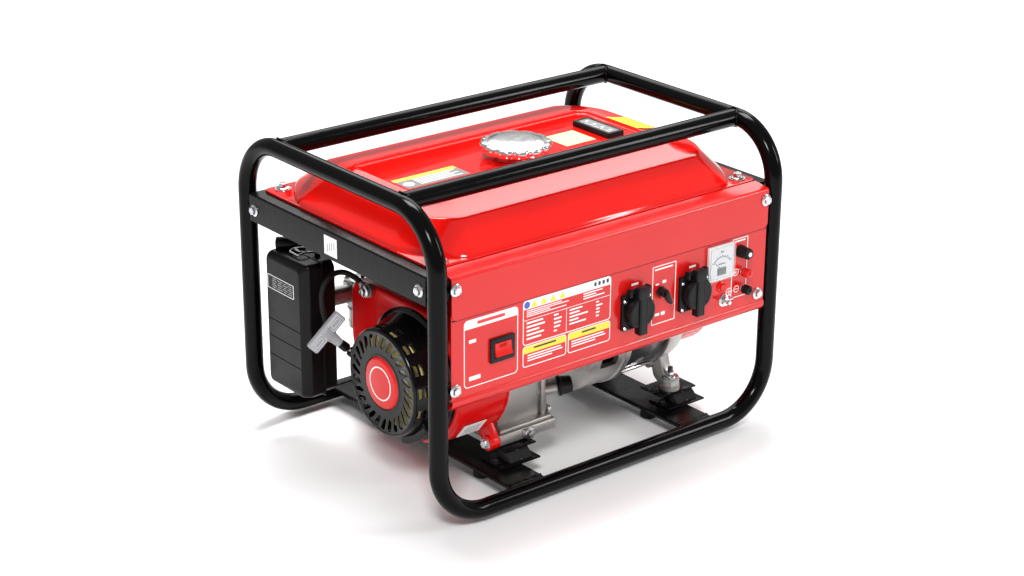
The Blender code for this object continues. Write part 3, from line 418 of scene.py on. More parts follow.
def cast_metal(name, colour, roughness, grain=650.0, depth=0.00009, metallic=0.9, grime=0.35):
    """Die-cast or sand-cast metal: a pitted skin, cooling marks and grime in patches."""
    n = Nodes(name)
    flow = n.noise(38.0, 6.0, n.stretched((1.0, 1.6, 0.7)), 0.62)
    tone = n.blend(flow, shaded(colour, 0.74), shaded(colour, 1.22))
    patches = n.span(n.noise(22.0, 5.0, roughness=0.7), 0.52, 0.75, 0.0, grime)
    tone = n.blend(patches, tone, shaded(colour, 0.36))
    skin = n.bump(n.noise(grain, 3.0), depth, 0.7)
    pits = n.bump(n.cells(grain * 0.4), depth, 0.35, skin)
    return n.finish(tone, n.span(flow, 0.3, 0.7, roughness * 0.8, roughness * 1.25), pits, Metallic=metallic)


def plated(name, colour, roughness, streak=(1.0, 1.0, 14.0), depth=0.00002, tint=None):
    """Plated or drawn metal: fine streaks, and a slight tint in patches."""
    n = Nodes(name)
    streaks = n.noise(170.0, 4.0, n.stretched(streak), 0.6)
    tone = n.blend(streaks, shaded(colour, 0.82), shaded(colour, 1.12))
    if tint:
        tone = n.blend(n.span(n.noise(55.0, 3.0), 0.45, 0.75, 0.0, 0.5), tone, tint)
    return n.finish(tone, n.span(streaks, 0.25, 0.75, roughness * 0.7, roughness * 1.5),
                    n.bump(streaks, depth, 0.5), Metallic=1.0)


def laminations(name, colour, pitch=0.0011):
    """A stack of thin varnished steel sheets across X."""
    n = Nodes(name)
    wave = n.add("ShaderNodeTexWave", {"wave_type": "BANDS", "bands_direction": "X", "Distortion": 0.6,
                                       "Detail": 2.0, "Scale": 1.0 / (pitch * 6.2832) * 0.5},
                 {"Vector": n.place}).outputs["Fac"]
    tone = n.blend(n.noise(18.0, 5.0, roughness=0.65), shaded(colour, 0.55), shaded(colour, 1.9))
    tone = n.blend(n.maths("MULTIPLY", wave, 0.45), tone, shaded(colour, 0.4))
    return n.finish(tone, n.span(n.noise(40.0, 4.0), 0.3, 0.7, 0.22, 0.45), n.bump(wave, 0.00025, 0.6),
                    Metallic=0.55, Coat_Weight=0.5, Coat_Roughness=0.12)


def printed(name, colour, second, roughness=0.35, speck=0.12):
    """A printed film: even ink with faint fibres, a soft sheen and dust."""
    n = Nodes(name)
    tone = n.blend(n.span(n.noise(700.0, 3.0), 0.45, 0.75, 0.0, speck), colour, second)
    ripple = n.bump(n.noise(80.0, 2.0), 0.00006, 0.4)
    return n.finish(tone, n.span(n.noise(50.0, 4.0), 0.3, 0.7, roughness * 0.8, roughness * 1.3), ripple)


def rope_weave(name):
    n = Nodes(name)
    wave = n.add("ShaderNodeTexWave", {"wave_type": "BANDS", "bands_direction": "DIAGONAL", "Scale": 260.0},
                 {"Vector": n.place}).outputs["Fac"]
    tone = n.blend(wave, (0.16, 0.16, 0.15), (0.75, 0.73, 0.68))
    return n.finish(tone, None, n.bump(wave, 0.0003, 0.8), Roughness=0.85)


def clear_film(name, colour, alpha):
    """A clear moulded window: mostly open, with a gloss and faint haze."""
    n = Nodes(name)
    tone = n.blend(n.noise(90.0, 4.0), shaded(colour, 0.95), shaded(colour, 1.05))
    return n.finish(tone, n.span(n.noise(60.0, 3.0), 0.3, 0.7, 0.05, 0.12),
                    n.bump(n.noise(300.0), 0.00001, 0.4), Alpha=alpha)


FINISHES = {
    "tube_paint": paint("tube_paint", (0.0016, 0.0014, 0.0015), 0.12, 0.00002, 0.11, 0.0),
    "satin_black": paint("satin_black", (0.004, 0.0036, 0.0038), 0.26, 0.00003, 0.15, 0.004),
    "member_black": paint("member_black", (0.003, 0.0027, 0.0028), 0.20, 0.00002, 0.14, 0.003),
    "tank_red": paint("tank_red", (0.66, 0.0060, 0.0040), 0.085, 0.00002, 0.5),
    "panel_red": paint("panel_red", (0.58, 0.0075, 0.0068), 0.16, 0.00003, 0.45),
    "shroud_red": paint("shroud_red", (0.74, 0.0050, 0.0055), 0.20, 0.00004, 0.3, 0.015),
    "recoil_black": paint("recoil_black", (0.004, 0.0036, 0.0038), 0.16, 0.00004, 0.22, 0.02),
    "rubber": plastic("rubber", (0.010, 0.010, 0.010), 0.60, 700.0, 0.00006, 0.12, 0.2),
    "black_plastic": plastic("black_plastic", (0.006, 0.006, 0.0065), 0.34, 1000.0, 0.00003, 0.02, 0.2),
    "filter_plastic": plastic("filter_plastic", (0.0045, 0.004, 0.004), 0.32, 620.0, 0.00003, 0.015, 0.15),
    "socket_plastic": plastic("socket_plastic", (0.005, 0.005, 0.0056), 0.36, 1300.0, 0.00002, 0.015, 0.18),
    "red_plastic": plastic("red_plastic", (0.62, 0.012, 0.010), 0.24, 900.0, 0.00001, 0.04),
    "badge_red": plastic("badge_red", (0.66, 0.010, 0.009), 0.22, 900.0, 0.00001, 0.03),
    "grey_plastic": plastic("grey_plastic", (0.36, 0.36, 0.38), 0.40, 1100.0, 0.00003, 0.15),
    "white_plastic": plastic("white_plastic", (0.78, 0.78, 0.77), 0.32, 900.0, 0.00001, 0.05),
    "cast_aluminium": cast_metal("cast_aluminium", (0.50, 0.485, 0.465), 0.38),
    "engine_casting": cast_metal("engine_casting", (0.42, 0.405, 0.385), 0.40, 560.0, 0.00011),
    "muffler_skin": cast_metal("muffler_skin", (0.15, 0.13, 0.12), 0.45, 380.0, 0.00008, 0.7, 0.55),
    "zinc": plated("zinc", (0.66, 0.66, 0.66), 0.20, tint=(0.55, 0.58, 0.66)),
    "guard_steel": plated("guard_steel", (0.42, 0.41, 0.40), 0.32),
    "steel": plated("steel", (0.48, 0.48, 0.48), 0.27),
    "chrome": plated("chrome", (0.93, 0.93, 0.94), 0.15, depth=0.00001),
    "zinc_gold": cast_metal("zinc_gold", (1.0, 0.76, 0.28), 0.45, 600.0, 0.00003, 0.12, 0.08),
    "dark_steel": plated("dark_steel", (0.06, 0.06, 0.065), 0.30),
    "laminations": laminations("laminations", (0.050, 0.052, 0.060)),
    "white_print": printed("white_print", (0.88, 0.88, 0.87), (0.70, 0.70, 0.70)),
    "yellow_print": printed("yellow_print", (0.83, 0.62, 0.03), (0.70, 0.52, 0.03)),
    "pale_yellow_print": printed("pale_yellow_print", (0.82, 0.72, 0.34), (0.72, 0.62, 0.28)),
    "black_print": printed("black_print", (0.012, 0.012, 0.012), (0.03, 0.03, 0.03)),
    "grey_print": printed("grey_print", (0.16, 0.155, 0.15), (0.12, 0.12, 0.12), 0.5),
    "blue_print": printed("blue_print", (0.03, 0.10, 0.42), (0.05, 0.12, 0.45)),
    "red_print": printed("red_print", (0.70, 0.02, 0.02), (0.55, 0.02, 0.02)),
    "dial_print": printed("dial_print", (0.56, 0.57, 0.60), (0.48, 0.49, 0.52), 0.4),
    # The relief finish is a lighter grey than the handle's own plastic: a painted highlight along its raised
    # outline ridges.
    "relief_painted_highlight": plastic("relief_painted_highlight", (0.62, 0.62, 0.65), 0.38, 1100.0, 0.00002, 0.05),
    "rope": rope_weave("rope"),
    "clear_plastic": clear_film("clear_plastic", (0.92, 0.94, 0.95), 0.16),
}
FINISHES_OF_SLOT = {
    "black_paint": ("tube_paint", "satin_black", "member_black", "recoil_black"),
    "red_paint": ("tank_red", "panel_red", "shroud_red"),
    "black_plastic": ("filter_plastic", "socket_plastic", "black_print"),
    "red_plastic": ("badge_red", "red_print"),
    "cast_aluminium": ("engine_casting",),
    "muffler_steel": ("muffler_skin", "guard_steel"),
    "steel": ("zinc", "dark_steel"),
    "copper_core": ("laminations",),
    "white_plastic": ("white_print", "yellow_print", "pale_yellow_print", "grey_print", "blue_print",
                      "dial_print", "clear_plastic"),
    "grey_plastic": ("relief_painted_highlight",),
}
SLOT_OF = {finish: slot for slot, names in FINISHES_OF_SLOT.items() for finish in names}
SLOT_OF.update({m["slot"]: m["slot"] for m in frame["record"]["materials"]})

# The finish of a CAD node that stays in view, by its material slot.
NODE_FINISH = {
    "cast_aluminium": "cast_aluminium", "rubber": "rubber", "black_paint": "satin_black",
    "red_paint": "shroud_red",
    "black_plastic": "black_plastic", "red_plastic": "red_plastic", "grey_plastic": "grey_plastic",
    "steel": "steel", "chrome": "chrome", "zinc_gold": "zinc_gold", "copper_core": "laminations",
    "white_plastic": "white_plastic", "rope": "rope", "muffler_steel": "muffler_skin",
}


# ---------------------------------------------------------------- shared details
def facing(at, way):
    """A matrix that puts a shape drawn along +Z at a point, looking along a direction."""
    turn = Vector((0, 0, 1)).rotation_difference(Vector(way)).to_matrix().to_4x4()
    return Matrix.Translation(Vector(at)) @ turn


def flange_bolt(at, way, across=0.0100, flange=0.0083, height=0.0058, turn=0.0):
    """A hexagon bolt head with its flange, seated at a point."""
    base = turned([(0, 0), (0, flange), (0.0012, flange), (0.0022, flange * 0.80), (0.0022, 0)], (0, 0), "Z",
                  28)
    head = bmesh.new()
    bmesh.ops.create_cone(head, cap_ends=True, segments=6, radius1=across * 0.577, radius2=across * 0.577,
                          depth=height - 0.0015)
    bmesh.ops.translate(head, vec=(0, 0, 0.0015 + (height - 0.0015) / 2), verts=head.verts)
    top = [e for e in head.edges if all(v.co.z > height - 1e-5 for v in e.verts)]
    bmesh.ops.bevel(head, geom=top, offset=0.0009, segments=2, affect="EDGES", profile=0.6)
    dish = turned([(height - 0.0002, 0), (height - 0.0002, across * 0.33), (height + 0.0003, across * 0.36),
                   (height + 0.0003, across * 0.40), (height - 0.0004, across * 0.42), (height - 0.0004, 0)],
                  (0, 0), "Z", 20)
    bolt = gathered([base, moved(head, Matrix.Rotation(turn, 4, "Z")), dish])
    return moved(bolt, facing(at, way))


def pan_screw(at, way, radius=0.0032, slot_turn=0.5):
    head = turned([(0, 0), (0, radius), (0.0006, radius), (0.0015, radius * 0.75), (0.0019, 0)], (0, 0), "Z",
                  20)
    bars = [moved(slab((-radius * 0.72, -0.00045, 0.0012), (radius * 0.72, 0.00045, 0.0024)),
                  Matrix.Rotation(slot_turn + quarter, 4, "Z")) for quarter in (0, math.pi / 2)]
    return moved(combined(head, cuts=bars), facing(at, way))


def catmull(values, spans):
    """Rows of numbers, made smooth by adding points between them."""
    rows = []
    last = len(values) - 1
    for i in range(last):
        a, b, c, d = (values[max(i - 1, 0)], values[i], values[i + 1], values[min(i + 2, last)])
        for s in range(spans):
            t = s / spans
            rows.append([0.5 * (2 * q + (r - p) * t + (2 * p - 5 * q + 4 * r - w) * t * t
                                + (3 * q - p - 3 * r + w) * t ** 3) for p, q, r, w in zip(a, b, c, d)])
    return rows + [list(values[-1])]


# ---------------------------------------------------------------- frame
def build_frame():
    x, y, low, top = FRAME_X, FRAME_Y, RAIL_Z, TOP_Z
    corners = [(-x, -y, low), (x, -y, low), (x, -y, top), (x, y, top), (x, y, low), (-x, y, low),
               (-x, y, top),
               (-x, -y, top)]
    hoop = swept(filleted(corners, BEND_R, 14, closed=True), TUBE_R, 32, closed=True)
    piece("frame_tube", "tube_paint", hoop, stands_for=("hoop_left", "hoop_right"), angle=60)

    sides = 32
    beads = []
    for rail_y, label in ((-TOP_RAIL_Y, "front"), (TOP_RAIL_Y, "rear")):
        rings = []
        for sign in (-1, 1):
            ring = []
            for k in range(sides):
                angle = 2 * math.pi * k / sides
                reach = x - TUBE_R * abs(math.cos(angle)) + 0.0006
                ring.append((sign * reach, rail_y + TUBE_R * math.cos(angle), top + TUBE_R * math.sin(angle)))
            rings.append(ring)
            path = []
            for k in range(48):
                angle = 2 * math.pi * k / 48
                wide = TUBE_R + 0.0006 + 0.0003 * math.sin(11 * angle)
                reach = x - math.sqrt(max(0, TUBE_R ** 2 - (TUBE_R * math.sin(angle)) ** 2)) - 0.0004
                path.append(Vector((sign * min(reach, x - 0.0035), rail_y + wide * math.cos(angle),
                                    top + wide * math.sin(angle))))
            beads.append(swept(path, 0.0017, 8, closed=True))
        piece(f"rail_{label}", "tube_paint", lofted(rings), stands_for=(f"top_rail_{label}",), angle=60)
    tabs = []
    for side in (-1, 1):
        for z in (0.333, 0.198):
            xs = sorted((side * 0.257, side * 0.2785))
            tabs.append(slab((xs[0], PANEL_Y + 0.0018, z - 0.012), (xs[1], PANEL_Y + 0.0043, z + 0.012),
                             0.0006, 2))
        for front in (-1, 1):
            xs = sorted((side * 0.2922, side * 0.2897))
            ys = sorted((front * 0.176, front * 0.203))
            tabs.append(slab((xs[0], ys[0], 0.3165), (xs[1], ys[1], 0.3405), 0.0006, 2))
    for x_mid in (-0.1385, 0.1625):
        for y_side in (-1, 1):
            path = [Vector((x_mid + 0.0275 * (2 * k / 12 - 1), y_side * (y - 0.0112),
                            0.0283 + 0.0005 * math.sin(2.1 * k))) for k in range(13)]
            beads.append(swept(path, 0.0017, 8))
    piece("weld_beads", "tube_paint", gathered(beads), angle=60)
    piece("bolt_tabs", "tube_paint", gathered(tabs))

    bolts = []
    for side in (-1, 1):
        for z in (0.333, 0.198):
            face = PANEL_FRONT - (0.0018 if z > 0.3 else 0.0)
            across = 0.259 if side > 0 and z < 0.3 else side * 0.266
            bolts.append(flange_bolt((across, face, z), (0, -1, 0), turn=0.3 * z))
        for front in (-1, 1):
            bolts.append(flange_bolt((side * 0.2945, front * 0.184, 0.3285), (side, 0, 0), turn=0.2))
    piece("frame_bolts", "zinc", gathered(bolts))


def build_end_plates():
    for side, label in ((-1, "left"), (1, "right")):
        face, top = 0.2945, 0.3497
        line = [(face, 0.311), *arc((face - 0.0025, top - 0.0025), 0.0025, 0, 90, 5), (0.238, top)]
        plate = prism(thickened(line, 0.002), "Y", -0.1965, 0.1965)
        if side < 0:
            mirrored(plate, 0)
        piece(f"cross_plate_{label}", "satin_black", plate, stands_for=(f"end_plate_{label}",), edge=0.0004)
    sticker = slab((-0.2947, -0.0085, 0.3165), (-0.2945, 0.0200, 0.3425), 0.00005, 1)
    piece("end_sticker", "white_print", sticker)
    marks = [slab((-0.29485, -0.0030 + 0.0050 * k, 0.327 - 0.002 * k),
                  (-0.29468, -0.0018 + 0.0050 * k, 0.337 - 0.002 * k))
             for k in range(4)]
    piece("end_sticker_marks", "grey_print", gathered(marks))


def build_mounts():
    plates, rubbers, lines, bolts = [], [], [], []
    low = 0.0288
    layout = (((-0.146, -0.080), (-0.128, -0.090), (-0.130, -0.078), -0.139, -0.122),
              ((0.155, 0.221), (0.173, 0.211), (0.149, 0.215), 0.1605, 0.154))
    for plate_x, rubber_x, upper_x, bolt_x, top_bolt_x in layout:
        for rear in (False, True):
            shapes = [slab((plate_x[0], -0.162, low), (plate_x[1], -0.118, low + 0.0025), 0.0005, 2),
                      slab((upper_x[0], -0.150, low + 0.0167), (upper_x[1], -0.106, low + 0.0192), 0.0005, 2)]
            sides = [(-0.158, low + 0.0024), (-0.157, low + 0.0060), (-0.1495, low + 0.0130),
                     (-0.144, low + 0.0168), (-0.114, low + 0.0168), (-0.119, low + 0.0130),
                     (-0.1265, low + 0.0060), (-0.128, low + 0.0024)]
            block = prism(sides, "X", *rubber_x)
            bmesh.ops.bevel(block, geom=block.edges, offset=0.0012, segments=2, affect="EDGES", profile=0.5)
            middle = (rubber_x[0] + rubber_x[1]) / 2
            seam = prism([(-0.1582, low + 0.0045), (-0.1572, low + 0.0045), (-0.1450, low + 0.0160),
                          (-0.1460, low + 0.0160)], "X", middle - 0.0005, middle + 0.0005)
            stud = flange_bolt((bolt_x, -0.140, low + 0.0025), (0, 0, 1), 0.009, 0.0075, 0.0052)
            top_bolt = flange_bolt((top_bolt_x, -0.128, low + 0.0192), (0, 0, 1), 0.009, 0.0075, 0.0050, 0.4)
            for shape, group in ((shapes[0], plates), (shapes[1], plates), (block, rubbers), (seam, lines),
                                 (stud, bolts), (top_bolt, bolts)):
                group.append(mirrored(shape, 1, -0.052) if rear else shape)
    names = [f"rubber_mount_{end}_{label}" for end in ("front", "rear") for label in ("left", "right")]
    piece("mount_plates", "member_black", gathered(plates), stands_for=names)
    piece("mount_rubbers", "rubber", gathered(rubbers))
    piece("mount_mould_lines", "grey_print", gathered(lines))
    piece("mount_bolts", "dark_steel", gathered(bolts))


# ---------------------------------------------------------------- tank
def tank_ring(half_x, half_y, corner_x, corner_y, power, z, steps=14):
    points = []
    for sx, sy, flip in ((1, 1, False), (-1, 1, True), (-1, -1, False), (1, -1, True)):
        corner = []
        for i in range(steps + 1):
            angle = math.pi / 2 * i / steps
            u, v = math.cos(angle) ** (2 / power), math.sin(angle) ** (2 / power)
            corner.append((sx * (half_x - corner_x + corner_x * u), sy * (half_y - corner_y + corner_y * v),
                           z))
        points += reversed(corner) if flip else corner
    return points


def build_tank():
    foot = [(0.2752, 0.1886, 0.054, 0.083, 1.25, 0.3530), (0.2747, 0.1879, 0.054, 0.083, 1.25, 0.3540),
            (0.2745, 0.1875, 0.054, 0.083, 1.25, 0.3560)]
    wall = [(0.2745, 0.1875, 0.054, 0.083, 1.25, 0.3560), (0.2722, 0.1850, 0.054, 0.082, 1.27, 0.3600),
            (0.2640, 0.1745, 0.053, 0.077, 1.34, 0.3690), (0.2560, 0.1640, 0.052, 0.073, 1.42, 0.3780),
            (0.2490, 0.1550, 0.051, 0.069, 1.50, 0.3858), (0.2457, 0.1507, 0.050, 0.067, 1.56, 0.3892),
            (0.2430, 0.1475, 0.049, 0.065, 1.62, 0.3908), (0.2385, 0.1425, 0.048, 0.063, 1.68, 0.3918),
            (0.2280, 0.1300, 0.045, 0.056, 1.80, 0.3933), (0.2150, 0.1120, 0.038, 0.044, 1.95, 0.3957),
            (0.2060, 0.0960, 0.024, 0.024, 2.00, 0.3982)]
    dip = [(0.2045, 0.0945, 0.022, 0.022, 2.0, 0.3984), (0.2030, 0.0930, 0.020, 0.020, 2.0, 0.3984),
           (0.2018, 0.0918, 0.019, 0.019, 2.0, 0.3979), (0.2008, 0.0908, 0.018, 0.018, 2.0, 0.3966),
           (0.2000, 0.0900, 0.017, 0.017, 2.0, 0.3954), (0.1988, 0.0888, 0.016, 0.016, 2.0, 0.3948),
           (0.1970, 0.0870, 0.015, 0.015, 2.0, 0.3946)]
    rings = [tank_ring(*row) for row in foot[:-1] + catmull(wall, 4) + dip]
    under = [(x * 0.985, y * 0.985, 0.3530) for x, y, _ in rings[0]]
    shell = lofted([under] + rings)
    flanges = []
    for z in (0.3500, 0.3518):
        sheet = prism(rounded((-0.276, -0.190), (0.276, 0.190), 0.010), "Z", z, z + 0.0015)
        bmesh.ops.bevel(sheet, geom=sheet.edges, offset=0.0004, segments=2, affect="EDGES", profile=0.5)
        flanges.append(sheet)
    neck = turned([(0.3940, 0.0320), (0.3952, 0.0308), (0.4030, 0.0300), (0.4040, 0.0294), (0.4040, 0.0262),
                   (0.3940, 0.0262)], (0, -0.008), "Z", 48)
    tank = gathered([shell, *flanges, neck])
    piece("tank_shell", "tank_red", tank, stands_for=("tank_upper",), angle=40)

    hardware = []
    for sx in (-1, 1):
        for sy in (-1, 1):
            at = (sx * 0.255, sy * 0.1735, 0.3533)
            washer = turned([(0.3533, 0.0045), (0.3533, 0.0115), (0.3548, 0.0115), (0.3548, 0.0045)],
                            (at[0], at[1]), "Z", 28)
            hardware += [washer, flange_bolt((at[0], at[1], 0.3548), (0, 0, 1), 0.011, 0.0085, 0.0075, 0.3)]
    piece("tank_bolts", "zinc", gathered(hardware))

    lobes, bumps = 12, 144

    def scallop(radius, depth, z):
        ring = []
        for k in range(bumps):
            angle = 2 * math.pi * k / bumps
            wide = radius - depth * (0.5 - 0.5 * math.cos(lobes * angle)) ** 3
            ring.append((wide * math.cos(angle), -0.008 + wide * math.sin(angle), z))
        return ring

    profile = [(0.0440, 0.0010, 0.4043), (0.0482, 0.0036, 0.4052), (0.0490, 0.0040, 0.4068),
               (0.0490, 0.0040, 0.4135),
               (0.0484, 0.0038, 0.4150), (0.0466, 0.0030, 0.4164), (0.0430, 0.0014, 0.4170),
               (0.0395, 0.0, 0.4168),
               (0.0375, 0.0, 0.4171), (0.0345, 0.0, 0.4188), (0.0280, 0.0, 0.4197), (0.0120, 0.0, 0.4200)]
    piece("filler_cap", "chrome", lofted([scallop(*row) for row in profile]), "fuel_cap", ("fuel_cap",),
          angle=45)

    low = 0.3948
    case = prism(rounded((0.1475, -0.029), (0.1770, 0.049), 0.003), "Z", low, low + 0.0078)
    rim = [e for e in case.edges if all(v.co.z > low + 0.0077 for v in e.verts)]
    bmesh.ops.bevel(case, geom=rim, offset=0.0014, segments=3, affect="EDGES", profile=0.5)
    well = prism(rounded((0.1525, -0.024), (0.1720, 0.043), 0.002), "Z", low + 0.0063, low + 0.02)
    piece("gauge_case", "black_plastic", combined(case, cuts=[well]), stands_for=("fuel_gauge",), edge=0.0003)
    dial = prism(rounded((0.1529, -0.0236), (0.1716, 0.0426), 0.002), "Z", low + 0.0063, low + 0.0066)
    piece("gauge_dial", "black_print", dial)
    marks = [slab((0.1545, -0.0205 + 0.0056 * k, low + 0.0065),
                  (0.1570 + 0.0015 * (k % 2), -0.0192 + 0.0056 * k, low + 0.0068)) for k in range(11)]
    marks += [slab((0.1615, -0.016 + 0.0165 * k, low + 0.0065), (0.1655, -0.0118 + 0.0165 * k, low + 0.0068))
              for k in range(4)]
    piece("gauge_marks", "white_print", gathered(marks))
    lens = prism(rounded((0.1527, -0.0238), (0.1718, 0.0428), 0.002), "Z", low + 0.0070, low + 0.0075)
    piece("gauge_lens", "clear_plastic", lens)

    sloped = [(0.2022, 0.3990), (0.2062, 0.39895), (0.2100, 0.3980), (0.2150, 0.39655), (0.2215, 0.3954),
              (0.2280, 0.3943),
              (0.2350, 0.3933)]
    labels = {
        "yellow_print": [slab((-0.193, 0.0030, 0.3947), (-0.092, 0.0125, 0.3949), 0.00004, 1),
                         prism(thickened(sloped, 0.0003), "Y", -0.027, 0.038)],
        "grey_print": [slab((-0.193, -0.0270, 0.3947), (-0.092, 0.0026, 0.3949), 0.00004, 1)],
        "pale_yellow_print": [slab((0.082, -0.018, 0.3947), (0.134, 0.032, 0.3949), 0.00004, 1)],
    }
    for finish, shapes in labels.items():
        piece(f"tank_label_{finish[:-6]}", finish, gathered(shapes))
    bars = [slab((-0.168, -0.0010 - 0.0050 * k, 0.3949),
                 (-0.100 - 0.010 * (k % 2), 0.0006 - 0.0050 * k, 0.39502))
            for k in range(5)]
    bars.append(rod((-0.182, -0.012, 0.3949), (-0.182, -0.012, 0.39502), 0.0075, 32))
    piece("tank_label_bars", "white_print", gathered(bars))


# ---------------------------------------------------------------- control panel
def outline_strip(low, high, radius, width=0.0011, depth=0.00018):
    """A printed frame line on the panel."""
    (x0, z0), (x1, z1) = low, high
    outer = rounded(low, high, radius, 5)
    inner = rounded((x0 + width, z0 + width), (x1 - width, z1 - width), max(radius - width, 0.0003), 5)
    shape = bmesh.new()
    rings = []
    for outline, y in ((outer, PANEL_Y + 0.0001), (outer, PANEL_Y - depth), (inner, PANEL_Y - depth),
                       (inner, PANEL_Y + 0.0001)):
        rings.append([shape.verts.new((u, y, v)) for u, v in outline])
    for first, second in zip(rings, rings[1:] + rings[:1]):
        for k in range(len(first)):
            m = (k + 1) % len(first)
            shape.faces.new((first[k], first[m], second[m], second[k]))
    bmesh.ops.recalc_face_normals(shape, faces=shape.faces)
    return shape


def patch(low, high, radius=0.0006, depth=0.00016, lift=0.0):
    return prism(rounded(low, high, radius, 5), "Y", PANEL_Y - lift - depth, PANEL_Y - lift + 0.0001)


def header(low, high, radius, depth=0.00017):
    """A printed band with its two upper corners rounded."""
    (x0, z0), (x1, z1) = low, high
    points = [(x1, z0), *arc((x1 - radius, z1 - radius), radius, 0, 90, 5),
              *arc((x0 + radius, z1 - radius), radius, 90, 180, 5), (x0, z0)]
    return prism(points, "Y", PANEL_Y - depth, PANEL_Y + 0.0001)


def text_rows(low, high, rows, fill=(0.9, 0.7, 0.8, 0.6), weight=0.42, lift=0.0):
    """Plain bars where small print would be."""
    (x0, z0), (x1, z1) = low, high
    pitch = (z1 - z0) / rows
    return [patch((x0, z1 - pitch * (k + weight)), (x0 + (x1 - x0) * fill[k % len(fill)], z1 - pitch * k),
                  pitch * weight * 0.3, lift=lift) for k in range(rows)]


